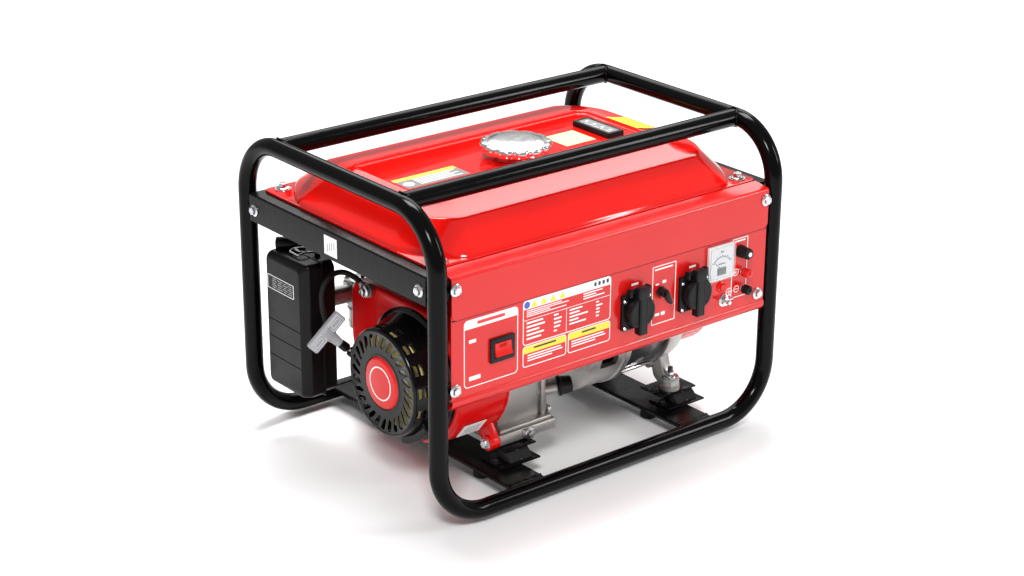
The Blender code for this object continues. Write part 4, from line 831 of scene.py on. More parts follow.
def build_panel():
    curl_r = 0.011
    curl = arc((PANEL_Y - 0.0021 + curl_r, 0.170 + curl_r), curl_r, 180, 270, 14)
    hem = [(PANEL_Y, 0.1862), (PANEL_Y - 0.0006, 0.1855), (PANEL_Y - 0.0016, 0.1845),
           (PANEL_Y - 0.0021, 0.1832)]
    sheet = prism(thickened([(PANEL_Y, 0.300), *hem, *curl, (PANEL_Y + 0.020, 0.170)], 0.0015), "X", -PANEL_X,
                  PANEL_X)
    push_hole = rod((0.189, PANEL_Y - 0.01, 0.225), (0.189, PANEL_Y + 0.01, 0.225), 0.0052, 32)
    sockets = [rod((x, PANEL_Y - 0.01, 0.2325), (x, PANEL_Y + 0.01, 0.2325), 0.0211, 48) for x in (0.031,
                                                                                                   0.134)]
    sheet = combined(sheet, cuts=[push_hole, *sockets])
    piece("panel_sheet", "panel_red", sheet, stands_for=("control_panel",), edge=0.0004, angle=40)

    front = PANEL_Y - 0.0018
    fold = arc((front + 0.004, 0.3450), 0.004, 180, 100, 10)
    band = prism(thickened([(-0.1925, 0.3525), *reversed(fold), (front, 0.292)], 0.0015), "X", -PANEL_X,
                 PANEL_X)
    cuts = []
    for side in (-1, 1):
        inside = arc((side * (PANEL_X - 0.008), 0.300), 0.008, 0 if side > 0 else 180,
                     -90 if side > 0 else 270, 10)
        outline = [(side * (PANEL_X + 0.001), 0.291), (side * (PANEL_X + 0.001), 0.301),
                   (side * PANEL_X, 0.301),
                   *inside, (side * (PANEL_X - 0.009), 0.291)]
        cuts.append(prism(outline, "Y", front - 0.002, front + 0.004))
    piece("band_sheet", "panel_red", combined(band, cuts=cuts), stands_for=("trim_band",), edge=0.0004,
          angle=40)

    # A thin dark strip with the rubber finish just under the band's lower edge: a painted shadow for the seam
    # between band and panel, not a real seal.
    shadow_strip = slab((-PANEL_X + 0.001, PANEL_Y - 0.0008, 0.2908), (PANEL_X - 0.001, PANEL_Y + 0.0001, 0.2924),
               0.0002, 1)
    piece("band_painted_shadow", "rubber", shadow_strip)

    white = [outline_strip((-0.252, 0.196), (-0.166, 0.287), 0.006),
             header((-0.252, 0.275), (-0.166, 0.287), 0.006),
             outline_strip((-0.158, 0.229), (-0.011, 0.290), 0.005),
             header((-0.158, 0.278), (-0.011, 0.290), 0.005),
             outline_strip((-0.158, 0.199), (-0.086, 0.2275), 0.004),
             outline_strip((-0.083, 0.199), (-0.011, 0.2275), 0.004),
             outline_strip((0.062, 0.200), (0.104, 0.283), 0.0008),
             outline_strip((0.208, 0.202), (0.237, 0.288), 0.0008),
             patch((-0.244, 0.205), (-0.226, 0.2105), 0.0008),
             patch((-0.244, 0.2555), (-0.233, 0.2600), 0.0008)]
    white += text_rows((-0.152, 0.266), (-0.075, 0.276), 4, (0.75, 0.9, 0.5, 0.85))
    white += text_rows((-0.058, 0.266), (-0.022, 0.276), 3, (0.9, 0.6, 1.0))
    white.append(patch((-0.156, 0.2628), (-0.013, 0.2634), 0.0002))
    white.append(patch((-0.0865, 0.2310), (-0.0859, 0.2628), 0.0002))
    white += text_rows((-0.152, 0.233), (-0.122, 0.260), 5, (0.9, 1.0, 0.7, 0.95, 0.8))
    white += text_rows((-0.107, 0.233), (-0.094, 0.260), 5, (0.6, 1.0, 0.9, 0.8, 0.4))
    white += text_rows((-0.081, 0.236), (-0.050, 0.260), 5, (0.7, 0.55, 1.0, 0.5, 0.9))
    white += text_rows((-0.036, 0.236), (-0.024, 0.260), 5, (0.4, 0.9, 0.5, 0.5, 0.4))
    for x in (-0.150, -0.077):
        white += text_rows((x, 0.2045), (x + 0.058, 0.2150), 3, (0.95, 1.0, 0.7))
    white += [patch((x - 0.006, 0.2660), (x + 0.006, 0.2690), 0.0008) for x in SOCKET_X]
    white += [patch((0.066, 0.2770), (0.098, 0.2790), 0.0006),
              patch((0.080, 0.2565), (0.087, 0.2605), 0.0018),
              patch((0.068, 0.2560), (0.074, 0.2580), 0.0006),
              patch((0.068, 0.2120), (0.076, 0.2155), 0.0006),
              patch((0.079, 0.2110), (0.086, 0.2160), 0.0018),
              patch((0.212, 0.2830), (0.232, 0.2850), 0.0006)]
    piece("panel_print_white", "white_print", gathered(white))
    yellow = [header((-0.1572, 0.2175), (-0.0868, 0.2268), 0.0035, 0.00019),
              header((-0.0822, 0.2175), (-0.0118, 0.2268), 0.0035, 0.00019)]
    for k in range(4):
        x = -0.140 + 0.0155 * k
        yellow.append(prism([(x - 0.0055, 0.2793), (x + 0.0055, 0.2793), (x, 0.2885)], "Y", PANEL_Y - 0.00030,
                            PANEL_Y))
    piece("panel_print_yellow", "yellow_print", gathered(yellow))
    blue = rod((-0.1515, PANEL_Y, 0.2838), (-0.1515, PANEL_Y - 0.0003, 0.2838), 0.0048)
    piece("panel_print_blue", "blue_print", blue)
    dark = text_rows((-0.140, 0.2200), (-0.103, 0.2245), 1, (1.0,), 0.55, 0.00012)
    dark += text_rows((-0.060, 0.2200), (-0.036, 0.2245), 1, (1.0,), 0.55, 0.00012)
    dark += [patch((-0.040 + 0.0070 * k, 0.2815), (-0.0360 + 0.0070 * k, 0.2870), 0.0010, lift=0.00012)
             for k in range(4)]
    piece("panel_print_dark", "black_print", gathered(dark))
    red = [patch((-0.231, 0.2788), (-0.187, 0.2832), 0.0008, lift=0.00012)]
    piece("panel_print_red", "red_print", gathered(red))


def build_switch():
    x, z = -0.1925, 0.2368
    front = PANEL_FRONT
    frame_shape = slab((x - 0.0195, front - 0.0035, z - 0.0163), (x + 0.0195, front, z + 0.0163), 0.0012, 3)
    box = slab((x - 0.0155, front - 0.001, z - 0.0125), (x + 0.0155, front + 0.024, z + 0.0125))
    well = slab((x - 0.0135, front - 0.006, z - 0.0102), (x + 0.0135, front + 0.020, z + 0.0102))
    bezel = combined(frame_shape, adds=[box], cuts=[well])
    piece("switch_bezel", "black_plastic", bezel, stands_for=("engine_switch_body",), edge=0.0003)
    outline = [(-0.0045, -0.0088), (-0.0037, -0.0045), (-0.0032, 0.0), (-0.0037, 0.0045), (-0.0045, 0.0088),
               (0.0010, 0.0088), (0.0060, 0.0030), (0.0060, -0.0030), (0.0010, -0.0088)]
    rocker = prism(outline, "X", -0.013, 0.013)
    ribs = [slab((-0.006, -0.0050, 0.0030 + 0.0016 * k), (0.006, -0.0030, 0.0036 + 0.0016 * k), 0.0002, 1)
            for k in range(3)]
    rocker = gathered([rocker, *ribs])
    moved(rocker, Matrix.Translation((x, front - 0.001, z)) @ Matrix.Rotation(math.radians(-10), 4, "X"))
    piece("switch_rocker", "red_plastic", rocker, "engine_switch_rocker", ("engine_switch_rocker",),
          edge=0.0005)


def build_sockets():
    front = PANEL_FRONT
    screws = []
    for number, x in enumerate(SOCKET_X, 1):
        z = SOCKET_Z
        half = 0.025
        plate = prism(rounded((x - half, z - half), (x + half, z + half), 0.003), "Y", front - 0.005, front)
        rim = [e for e in plate.edges if all(v.co.y < front - 0.0049 for v in e.verts)]
        bmesh.ops.bevel(plate, geom=rim, offset=0.0010, segments=3, affect="EDGES", profile=0.5)
        drum = rod((x, front - 0.002, z), (x, front + 0.026, z), 0.0208, 48)
        ears = [slab((x + side * 0.0155 - 0.0025, front - 0.0125, z + 0.0225),
                     (x + side * 0.0155 + 0.0025, front - 0.004, z + 0.0335), 0.0010, 2) for side in (-1, 1)]
        well = rod((x, front - 0.008, z), (x, front + 0.013, z), 0.0185, 48)
        pins = [rod((x + side * 0.0095, front, z), (x + side * 0.0095, front + 0.022, z), 0.0027, 20)
                for side in (-1, 1)]
        body = combined(plate, adds=[drum, *ears], cuts=[well, *pins])
        piece(f"socket_body_{number}", "socket_plastic", body, stands_for=(f"socket_{number}",), edge=0.0002)
        clips = [slab((x - 0.0025, front + 0.006, z + side * 0.0165 - 0.0012),
                      (x + 0.0025, front + 0.0128, z + side * 0.0165 + 0.0012), 0.0004,
                      1) for side in (-1, 1)]
        piece(f"socket_contacts_{number}", "steel", gathered(clips))
        back = front - 0.005 - 0.0003
        hinge_y, hinge_z = front - 0.0092, z + 0.0300
        disc = turned([(back, 0), (back, 0.0214), (back - 0.0040, 0.0222), (back - 0.0098, 0.0222),
                       (back - 0.0116, 0.0214), (back - 0.0124, 0.0198), (back - 0.0124, 0.0178),
                       (back - 0.0120, 0.0172), (back - 0.0120, 0)], (x, z), "Y", 72)
        knuckle = rod((x - 0.0127, hinge_y, hinge_z), (x + 0.0127, hinge_y, hinge_z), 0.0033, 28,
                      bevel=0.0005)
        rib = slab((x - 0.0070, -0.2374, z - 0.0308), (x + 0.0070, back - 0.003, z + 0.0300), 0.0012, 3)
        block = slab((x - 0.0095, -0.2374, z + 0.0200), (x + 0.0095, back - 0.0036, z + 0.0353), 0.0016, 3)
        grooves = [slab((x + side * 0.0050 - 0.0003, -0.2380, z - 0.0350),
                        (x + side * 0.0050 + 0.0003, -0.2368, z + 0.0190)) for side in (-1, 1)]
        lid = combined(disc, adds=[knuckle, rib, block], cuts=grooves)
        piece(f"socket_cover_{number}", "socket_plastic", lid, f"socket_lid_{number}",
              (f"socket_lid_{number}",),
              edge=0.0003)
        for sx in (-1, 1):
            for sz in (-1, 1):
                screws.append(pan_screw((x + sx * 0.0212, front - 0.005, z + (0.0165 if sz > 0 else -0.0212)),
                                        (0, -1, 0), 0.0027, 0.6 * sx + sz))
    piece("socket_screws", "zinc", gathered(screws))


def lathe_knob(at, profile, sides=48):
    return turned([(PANEL_FRONT - a, r) for a, r in profile], at, "Y", sides)


def sign_ring(at, radius, width=0.0009):
    """A printed circle on the panel."""
    (x, z), y = at, PANEL_Y - 0.00018
    return turned([(y, radius - width), (y, radius), (y + 0.0002, radius), (y + 0.0002, radius - width)],
                  (x, z), "Y", 40)


def build_controls():
    front = PANEL_FRONT
    x, z = 0.077, 0.2460
    base = lathe_knob((x, z), [(0, 0), (0, 0.0074), (0.0018, 0.0074), (0.0025, 0.0064), (0.0100, 0.0058),
                               (0.0109, 0.0048), (0.0110, 0)])
    outline = [(x - 0.0028, z + 0.0034), (x - 0.0038, z - 0.0030), (x + 0.0052, z - 0.0152),
               (x + 0.0080, z - 0.0158),
               (x + 0.0098, z - 0.0136), (x + 0.0038, z + 0.0008), (x + 0.0024, z + 0.0038)]
    lever = prism(outline, "Y", front - 0.0150, front - 0.007)
    bmesh.ops.bevel(lever, geom=lever.edges, offset=0.0011, segments=3, affect="EDGES", profile=0.5)
    piece("selector_lever", "black_plastic", gathered([base, lever]), "selector_knob", ("selector_knob",))

    x, z = 0.2225, 0.269
    cap = [(0, 0), (0, 0.0089), (0.0030, 0.0089), (0.0042, 0.0085), (0.0150, 0.0078), (0.0180, 0.0072),
           (0.0193, 0.0060), (0.0195, 0)]
    flutes = []
    body = lathe_knob((x, z), cap, 64)
    for k in range(14):
        angle = 2 * math.pi * k / 14
        flutes.append(rod((x + 0.0098 * math.cos(angle), front - 0.0045, z + 0.0098 * math.sin(angle)),
                          (x + 0.0082 * math.cos(angle), front - 0.0230, z + 0.0082 * math.sin(angle)),
                          0.0008, 8))
    piece("fuse_cap", "black_plastic", combined(body, cuts=flutes), "fuse_knob", ("fuse_knob",), edge=0.0002)
    pin = lathe_knob((x, z), [(0.0194, 0), (0.0194, 0.0034), (0.0199, 0.0032), (0.0200, 0)], 24)
    piece("fuse_cap_pin", "zinc", pin, "fuse_knob")

    for name, at, finish in (("terminal_red", (0.228, 0.238), "red_plastic"),
                             ("terminal_black", (0.230, 0.213), "black_plastic")):
        profile = [(0.0032, 0), (0.0032, 0.0060), (0.0040, 0.0068), (0.0125, 0.0066), (0.0145, 0.0058),
                   (0.0153, 0.0042), (0.0155, 0.0020), (0.0140, 0.0018), (0.0140, 0)]
        knob = lathe_knob(at, profile, 48)
        for v in knob.verts:
            out = Vector((v.co.x - at[0], v.co.z - at[1]))
            if out.length > 0.0050:
                wave = 1 - 0.07 * (0.5 - 0.5 * math.cos(8 * math.atan2(out.y, out.x)))
                v.co.x, v.co.z = at[0] + out.x * wave, at[1] + out.y * wave
        piece(f"{name}_knob", finish, knob, name, (name,))
        post = lathe_knob(at, [(0, 0), (0, 0.0050), (0.0028, 0.0050), (0.0028, 0)], 24)
        piece(f"{name}_collar", "zinc", post, name)
        mark = [sign_ring((at[0] - 0.0115, at[1] + 0.0012), 0.0050)]
        mark += [patch((at[0] - 0.0140, at[1] + 0.0006), (at[0] - 0.0090, at[1] + 0.0018))]
        mark += [patch((at[0] - 0.0121, at[1] - 0.0013),
                       (at[0] - 0.0109, at[1] + 0.0037))] if "red" in name else []
        piece(f"{name}_mark", "white_print", gathered(mark))

    x, z = 0.189, 0.225
    button = lathe_knob((x, z), [(0, 0), (0, 0.0046), (0.0038, 0.0045), (0.0045, 0.0036), (0.0046, 0)], 28)
    piece("breaker_push", "red_plastic", button, "breaker_button", ("breaker_button",))
    bush = lathe_knob((x, z), [(-0.0002, 0.0055), (-0.0002, 0.0078), (0.0012, 0.0078), (0.0020, 0.0066),
                               (0.0020, 0.0055)], 32)
    piece("breaker_bush", "shroud_red", bush)

    x, z = 0.194, 0.204
    nut = moved(combined(rod((0, 0, 0), (0, 0, 0.0055), 0.0065, 6)),
                facing((x, front - 0.0012, z), (0, -1, 0)))
    washer = lathe_knob((x, z), [(-0.0002, 0), (-0.0002, 0.0088), (0.0012, 0.0088), (0.0012, 0)], 32)
    stud = rod((x, front, z), (x, front - 0.0135, z), 0.0030, 20, bevel=0.0006)
    wings = []
    for side in (-1, 1):
        path = [Vector((x + side * 0.004, front - 0.0055, z + 0.001)),
                Vector((x + side * 0.0072, front - 0.0075, z + 0.0030)),
                Vector((x + side * 0.0092, front - 0.0100, z + 0.0042))]
        wings.append(swept(path, 0.0022, 12))
    piece("earth_wing_nut", "zinc", gathered([nut, washer, stud, *wings]), stands_for=("earth_stud",))
    mark = [sign_ring((x + 0.0105, z + 0.0095), 0.0056)]
    mark += [patch((x + 0.0105 - half, z + level), (x + 0.0105 + half, z + level + 0.0010))
             for half, level in ((0.0034, 0.0092), (0.0023, 0.0074), (0.0011, 0.0056))]
    mark.append(patch((x + 0.0100, z + 0.0100), (x + 0.0110, z + 0.0135)))
    piece("earth_mark", "white_print", gathered(mark))

    x, z = 0.1835, 0.2625
    case = slab((x - 0.0228, front - 0.0050, z - 0.0245), (x + 0.0228, front, z + 0.0245), 0.0008, 2)
    can = slab((x - 0.0185, front - 0.001, z - 0.0175), (x + 0.0185, front + 0.028, z + 0.0175), 0.002, 2)
    piece("meter_case", "white_plastic", gathered([case, can]), stands_for=("voltmeter",))
    cover = slab((x - 0.0228, front - 0.0090, z - 0.0245), (x + 0.0228, front - 0.0052, z + 0.0245), 0.0012,
                 3)
    piece("meter_window", "clear_plastic", cover)
    plate = slab((x - 0.0206, front - 0.00515, z - 0.0222), (x + 0.0206, front - 0.0049, z + 0.0222), 0.0001,
                 1)
    piece("meter_dial", "dial_print", plate)
    rim = [Vector((u, front - 0.0052, v)) for u,
           v in rounded((x - 0.0206, z - 0.0222), (x + 0.0206, z + 0.0222), 0.0015, 4)]
    piece("meter_rim", "grey_plastic", swept(rim, 0.00045, 6, closed=True))
    scale_y = front - 0.00515
    marks = []
    for k in range(13):
        angle = math.radians(145 - 9.2 * k)
        inner, outer = 0.0185, 0.0205 if k % 3 else 0.0220
        way = Vector((math.cos(angle), 0, math.sin(angle)))
        start = Vector((x, scale_y - 0.0001, z - 0.0100)) + way * inner
        marks.append(rod(start, start + way * (outer - inner), 0.00042, 6))
    curve = [Vector((x + 0.0185 * math.cos(math.radians(145 - 5 * k)), scale_y - 0.0001,
                     z - 0.0100 + 0.0185 * math.sin(math.radians(145 - 5 * k)))) for k in range(23)]
    marks.append(swept(curve, 0.00038, 6))
    needle_end = Vector((x - 0.0130, scale_y - 0.0006, z + 0.0020))
    marks.append(rod((x, scale_y - 0.0006, z - 0.0100), needle_end, 0.0003, 8))
    marks.append(rod((x, scale_y, z - 0.0100), (x, scale_y - 0.0012, z - 0.0100), 0.0022, 20))
    marks += [slab((x - 0.0060, scale_y - 0.0002, z - 0.0020), (x + 0.0060, scale_y, z - 0.0005)),
              slab((x - 0.0078, scale_y - 0.0010, z - 0.0170), (x + 0.0078, scale_y, z - 0.0068), 0.0010, 2),
              slab((x - 0.0030, scale_y - 0.0002, z + 0.0150), (x + 0.0030, scale_y, z + 0.0168))]
    piece("meter_marks", "black_print", gathered(marks))


# ---------------------------------------------------------------- engine
PULL = Vector((-0.66, 0.30, 0.69)).normalized()
GRIP = Vector((0.70, -0.135, 0.70)).normalized()
GUIDE = Vector((-0.245, 0.040, 0.160))
GRIP_REACH = 0.0425
TILT = math.radians(25)
CASE_X = (-0.122, -0.040)
MIDDLE_X = -0.081
BASE_Z = 0.0483


def along_cylinder(distance, across=0.0):
    c, s = math.cos(TILT), math.sin(TILT)
    return (CRANK[0] + distance * c - across * s, CRANK[1] + distance * s + across * c)


def cylinder_block(start, end, half, x_low, x_high, bevel=0.0):
    outline = [along_cylinder(start, -half), along_cylinder(end, -half), along_cylinder(end, half),
               along_cylinder(start, half)]
    shape = prism(outline, "X", x_low, x_high)
    if bevel:
        bmesh.ops.bevel(shape, geom=shape.edges, offset=bevel, segments=2, affect="EDGES", profile=0.5)
    return shape


def softened(outline, rounds=3):
    """A closed outline with its corners rounded off."""
    for _ in range(rounds):
        points = []
        for a, b in zip(outline, outline[1:] + outline[:1]):
            points += [(a[0] * 0.8 + b[0] * 0.2, a[1] * 0.8 + b[1] * 0.2),
                       (a[0] * 0.2 + b[0] * 0.8, a[1] * 0.2 + b[1] * 0.8)]
        outline = points
    return outline


def build_engine():
    outline = [(-0.122, 0.060), (-0.122, 0.178), (-0.112, 0.206), (-0.085, 0.222), (-0.035, 0.228),
               (0.005, 0.215), (0.030, 0.120), (0.040, 0.060)]
    case = prism(outline, "X", *CASE_X)
    bmesh.ops.bevel(case, geom=case.edges, offset=0.003, segments=3, affect="EDGES", profile=0.5)
    shapes = [case, slab((-0.1302, -0.138, BASE_Z), (-0.032, 0.052, 0.0655), 0.0035, 3)]
    shapes.append(slab((-0.1262, -0.1335, 0.0635), (-0.036, 0.047, 0.0700), 0.0030, 3))
    for z in (0.118, 0.160):
        shapes.append(slab((-0.120, -0.1245, z), (-0.042, -0.118, z + 0.003), 0.0012, 2))
    shapes.append(slab((-0.050, -0.1262, 0.066), (-0.0415, -0.090, 0.205), 0.0020, 3))
    shapes.append(slab((-0.0415, -0.1225, 0.0655), (-0.0370, -0.060, 0.195), 0.0016, 3))
    shapes.append(slab((-0.0925, -0.1405, 0.0500), (-0.0715, -0.130, 0.0640), 0.0030, 3))
    boss = turned([(-0.045, 0), (-0.045, 0.0665), (-0.0325, 0.0665), (-0.0300, 0.0640), (-0.0300, 0)],
                  sides=72)
    shapes.append(boss)
    barrel = cylinder_block(0.050, 0.1497, 0.038, MIDDLE_X - 0.040, MIDDLE_X + 0.040, 0.004)
    shapes.append(barrel)
    for d in (0.096, 0.107, 0.118, 0.129, 0.140):
        shapes.append(cylinder_block(d, d + 0.0025, 0.046, MIDDLE_X - 0.047, MIDDLE_X + 0.047, 0.0008))
    shapes.append(rod((-0.062, -0.104, 0.098), (-0.0225, -0.1257, 0.1039), 0.0108, 32, bevel=0.001))
    shapes.append(rod((-0.0370, -0.1178, 0.0700), (-0.0315, -0.1178, 0.0700), 0.0075, 28, bevel=0.001))
    piece("engine_case", "engine_casting", gathered(shapes), stands_for=("crankcase",))
    bolts = [flange_bolt((-0.082, -0.1405, 0.0570), (0, -1, 0), 0.0100, 0.0085, 0.0066, 0.2),
             flange_bolt((-0.0315, -0.1178, 0.0700), (1, 0, 0), 0.0075, 0.0062, 0.0045, 0.5),
             flange_bolt((-0.0370, -0.1195, 0.1850), (1, 0, 0), 0.0075, 0.0062, 0.0045, 0.2)]
    for k in range(6):
        angle = math.radians(60 * k + 15)
        bolts.append(flange_bolt((-0.0325, CRANK[0] + 0.0590 * math.cos(angle),
                                  CRANK[1] + 0.0590 * math.sin(angle)),
                                 (1, 0, 0), 0.0075, 0.0062, 0.0040, angle))
    piece("engine_bolts", "steel", gathered(bolts))

    start = Vector((-0.022, -0.126, 0.104))
    way = (start - Vector((-0.062, -0.104, 0.098))).normalized()
    profile = [(0.0003, 0), (0.0003, 0.0143), (0.0040, 0.0143), (0.0052, 0.0130), (0.0185, 0.0114),
               (0.0200, 0.0100),
               (0.0202, 0)]
    grip = turned(profile, (0, 0), "Z", 64)
    flats = [moved(slab((0.0088, -0.012, 0.0055), (0.02, 0.012, 0.024)),
                   Matrix.Rotation(math.pi / 2 + math.pi * k, 4, "Z"))
             for k in range(2)]
    knob = moved(combined(grip, cuts=flats), facing(start, way))
    piece("dipstick_knob", "black_plastic", knob, "oil_dipstick", ("oil_dipstick",), edge=0.0006)

    head = [cylinder_block(0.150, 0.186, 0.040, MIDDLE_X - 0.042, MIDDLE_X + 0.042, 0.003)]
    head += [cylinder_block(d, d + 0.0025, 0.046, MIDDLE_X - 0.047, MIDDLE_X + 0.047, 0.0008)
             for d in (0.153, 0.164, 0.175)]
    piece("head_casting", "engine_casting", gathered(head), stands_for=("cylinder_head",))
    lid = [cylinder_block(0.183, 0.206, 0.034, MIDDLE_X - 0.036, MIDDLE_X + 0.036, 0.006),
           cylinder_block(0.1860, 0.1885, 0.0375, MIDDLE_X - 0.0395, MIDDLE_X + 0.0395, 0.001)]
    piece("rocker_lid", "steel", gathered(lid))
    head_bolts = []
    for sx in (-1, 1):
        for sz in (-1, 1):
            y, z = along_cylinder(0.1885, sz * 0.032)
            head_bolts.append(flange_bolt((MIDDLE_X + sx * 0.034, y, z), (0, math.cos(TILT), math.sin(TILT)),
                                          0.008, 0.0068, 0.005))
    plug_at = Vector((MIDDLE_X + 0.040, *along_cylinder(0.178, 0.010)))
    plug_way = Vector((0.75, 0.45, 0.35)).normalized()
    piece("head_bolts", "zinc", gathered(head_bolts))
    boot = [rod(plug_at, plug_at + plug_way * 0.026, 0.0075, 28, 0.0066, 0.001),
            swept(filleted([plug_at + plug_way * 0.024, plug_at + plug_way * 0.050,
                            Vector((-0.020, 0.080, 0.268)), Vector((-0.090, 0.010, 0.262)),
                            Vector((-0.150, -0.010, 0.250)),
                            Vector((-0.168, -0.012, 0.2400))], 0.010, 6), 0.0035, 16)]
    piece("plug_lead", "rubber", gathered(boot))


def build_shroud():
    arcs = arc(CRANK, 0.098, 128, 262, 40)
    rest = [(-0.040, 0.056), (-0.010, 0.072), (0.018, 0.090), (0.060, 0.118), (0.083, 0.150), (0.083, 0.225),
            (0.076, 0.240), (0.060, 0.247), (-0.080, 0.247), (-0.108, 0.240)]
    outline = softened([*arcs[::4], *rest], 3)
    inner = [(CRANK[0] + (y - CRANK[0]) * 0.972, CRANK[1] + (z - CRANK[1]) * 0.972) for y, z in outline]
    shell = prism(outline, "X", -0.2128, -0.1306)
    rim = [e for e in shell.edges if all(v.co.x < -0.2127 for v in e.verts)]
    bmesh.ops.bevel(shell, geom=rim, offset=0.0060, segments=5, affect="EDGES", profile=0.5)
    inside = prism(inner, "X", -0.2108, -0.12)
    mouth = rod((-0.223, *CRANK), (-0.203, *CRANK), 0.082, 64)
    body = combined(shell, cuts=[inside, mouth])
    lip = prism(outline, "X", -0.1335, -0.1306)
    cut = prism(inner, "X", -0.14, -0.12)
    for v in lip.verts:
        v.co.y = CRANK[0] + (v.co.y - CRANK[0]) * 1.012
        v.co.z = CRANK[1] + (v.co.z - CRANK[1]) * 1.012
    flange = combined(lip, cuts=[cut])
    lug = rod((-0.1500, -0.1330, 0.0590), (-0.1330, -0.1330, 0.0590), 0.0105, 36, bevel=0.001)
    web = prism([(-0.1415, 0.0660), (-0.1245, 0.0540), (-0.1050, 0.0700), (-0.1250, 0.0940)], "X", -0.146,
                -0.134)
    bmesh.ops.bevel(web, geom=web.edges, offset=0.0015, segments=2, affect="EDGES", profile=0.5)
    piece("shroud_shell", "shroud_red", gathered([body, flange, lug, web]), stands_for=("fan_shroud",),
          angle=40)
    bolts = [flange_bolt((-0.1500, -0.1330, 0.0590), (-1, -0.15, 0), 0.0095, 0.0080, 0.0060, 0.3)]
    piece("shroud_bolts", "zinc", gathered(bolts))
    angle = math.radians(219)
    place = Matrix.Translation((-0.176, CRANK[0] + 0.0983 * math.cos(angle),
                                CRANK[1] + 0.0983 * math.sin(angle)))
    place = place @ Matrix.Rotation(angle - math.pi / 2, 4, "X")
    piece("shroud_label", "white_print",
          moved(slab((-0.0200, -0.0140, -0.0003), (0.0170, 0.0140, 0.0004), 0.0001, 1),
                                               place))
    bars = [moved(slab((-0.014 + 0.002 * (k % 2), -0.008 + 0.0045 * k, 0.0004),
                       (0.012, -0.0068 + 0.0045 * k, 0.0005)),
                  place) for k in range(4)]
    piece("shroud_label_bars", "grey_print", gathered(bars))


def sector(inner, outer, low, high, x_low, x_high, steps=6):
    """A piece of a ring about the crank, between two angles in degrees."""
    outline = arc(CRANK, outer, low, high, steps) + arc(CRANK, inner, high, low, steps)
    return prism(outline, "X", x_low, x_high)


def build_recoil():
    face, back = -0.266, -0.2133
    profile = [(face + 0.0005, 0.0362), (face, 0.0368), (face, 0.0392), (face + 0.0007, 0.0398),
               (face + 0.0007, 0.0685),
               (face + 0.0002, 0.0692), (face + 0.0004, 0.0705), (face + 0.0014, 0.0719),
               (face + 0.0036, 0.0731),
               (back - 0.0250, 0.0765), (back - 0.0075, 0.0825), (back - 0.0055, 0.0840),
               (back - 0.0045, 0.0880),
               (back - 0.0035, 0.0896), (back, 0.0900), (back, 0.0865), (back - 0.0060, 0.0805),
               (face + 0.0050, 0.0712), (face + 0.0024, 0.0690), (face + 0.0024, 0.0362)]
    cover = turned(profile, sides=108)
    slots = []
    capsule = [*arc((0.0628, 0), 0.0040, -90, 90, 8), *arc((0.0505, 0), 0.0027, 90, 270, 8)]
    for k in range(27):
        slot = prism(capsule, "X", face - 0.004, face + 0.006)
        lean = Matrix.Translation((0, 0.056, 0)) @ Matrix.Rotation(math.radians(26), 4, "X")
        lean = lean @ Matrix.Translation((0, -0.056, 0))
        moved(slot, Matrix.Translation((0, *CRANK)) @ Matrix.Rotation(2 * math.pi * k / 27, 4, "X") @ lean)
        slots.append(slot)
    for k in range(15):
        middle = 24 * k + 6
        if not 205 < middle < 262:
            for x in (-0.2572, -0.2490):
                slots.append(sector(0.060, 0.095, middle - 5.5, middle + 5.5, x - 0.0026, x + 0.0026))
    bump = sector(0.0745, 0.0875, 212, 258, -0.2490, back, 16)
    bmesh.ops.bevel(bump, geom=[e for e in bump.edges if all(v.co.x < -0.2489 for v in e.verts)],
                    offset=0.0030,
                    segments=4, affect="EDGES", profile=0.5)
    for k in range(5):
        angle = math.radians(219 + 8 * k)
        slit = prism([*arc((-0.2200, 0), 0.0014, -90, 90, 4), *arc((-0.2430, 0), 0.0014, 90, 270, 4)], "Z",
                     0.068, 0.095)
        slots.append(moved(slit,
                           Matrix.Translation((0, *CRANK)) @ Matrix.Rotation(angle - math.pi / 2, 4, "X")))
    cover = combined(cover, adds=[bump], cuts=[gathered(slots)])
    root = GUIDE - PULL * 0.030
    spout = moved(turned([(0.0, 0.0024), (0.0, 0.0078), (0.020, 0.0070), (0.027, 0.0072), (0.0295, 0.0066),
                          (0.0300, 0.0052), (0.0290, 0.0024)], (0, 0), "Z", 36), facing(root, PULL))
    foot = slab((-0.239, 0.016, 0.131), (-0.224, 0.034, 0.147), 0.003, 3)
    lugs, bolts = [], []
    for degrees in (-20, 182, 272):
        angle = math.radians(degrees)
        y, z = CRANK[0] + 0.0875 * math.cos(angle), CRANK[1] + 0.0875 * math.sin(angle)
        lugs.append(rod((back - 0.0035, y, z), (back, y, z), 0.0080, 32, bevel=0.0006))
        bolts.append(flange_bolt((back - 0.0035, y, z), (-1, 0, 0), 0.0080, 0.0070, 0.0050, angle))
    piece("recoil_shell", "recoil_black", gathered([cover, spout, foot, *lugs]), stands_for=("recoil_cover",),
          angle=38)
    piece("recoil_bolts", "zinc", gathered(bolts))
    disc = turned([(face - 0.0020, 0), (face - 0.0020, 0.0310), (face - 0.0014, 0.0335),
                   (face + 0.0002, 0.0352),
                   (face + 0.0020, 0.0361), (face + 0.0022, 0)], sides=72)
    piece("hub_badge", "badge_red", disc, stands_for=("starter_badge",))
    ring = turned([(face - 0.0022, 0.0215), (face - 0.0022, 0.0232), (face - 0.0019, 0.0232),
                   (face - 0.0019, 0.0215)],
                  sides=72)
    piece("hub_badge_ring", "white_print", ring)


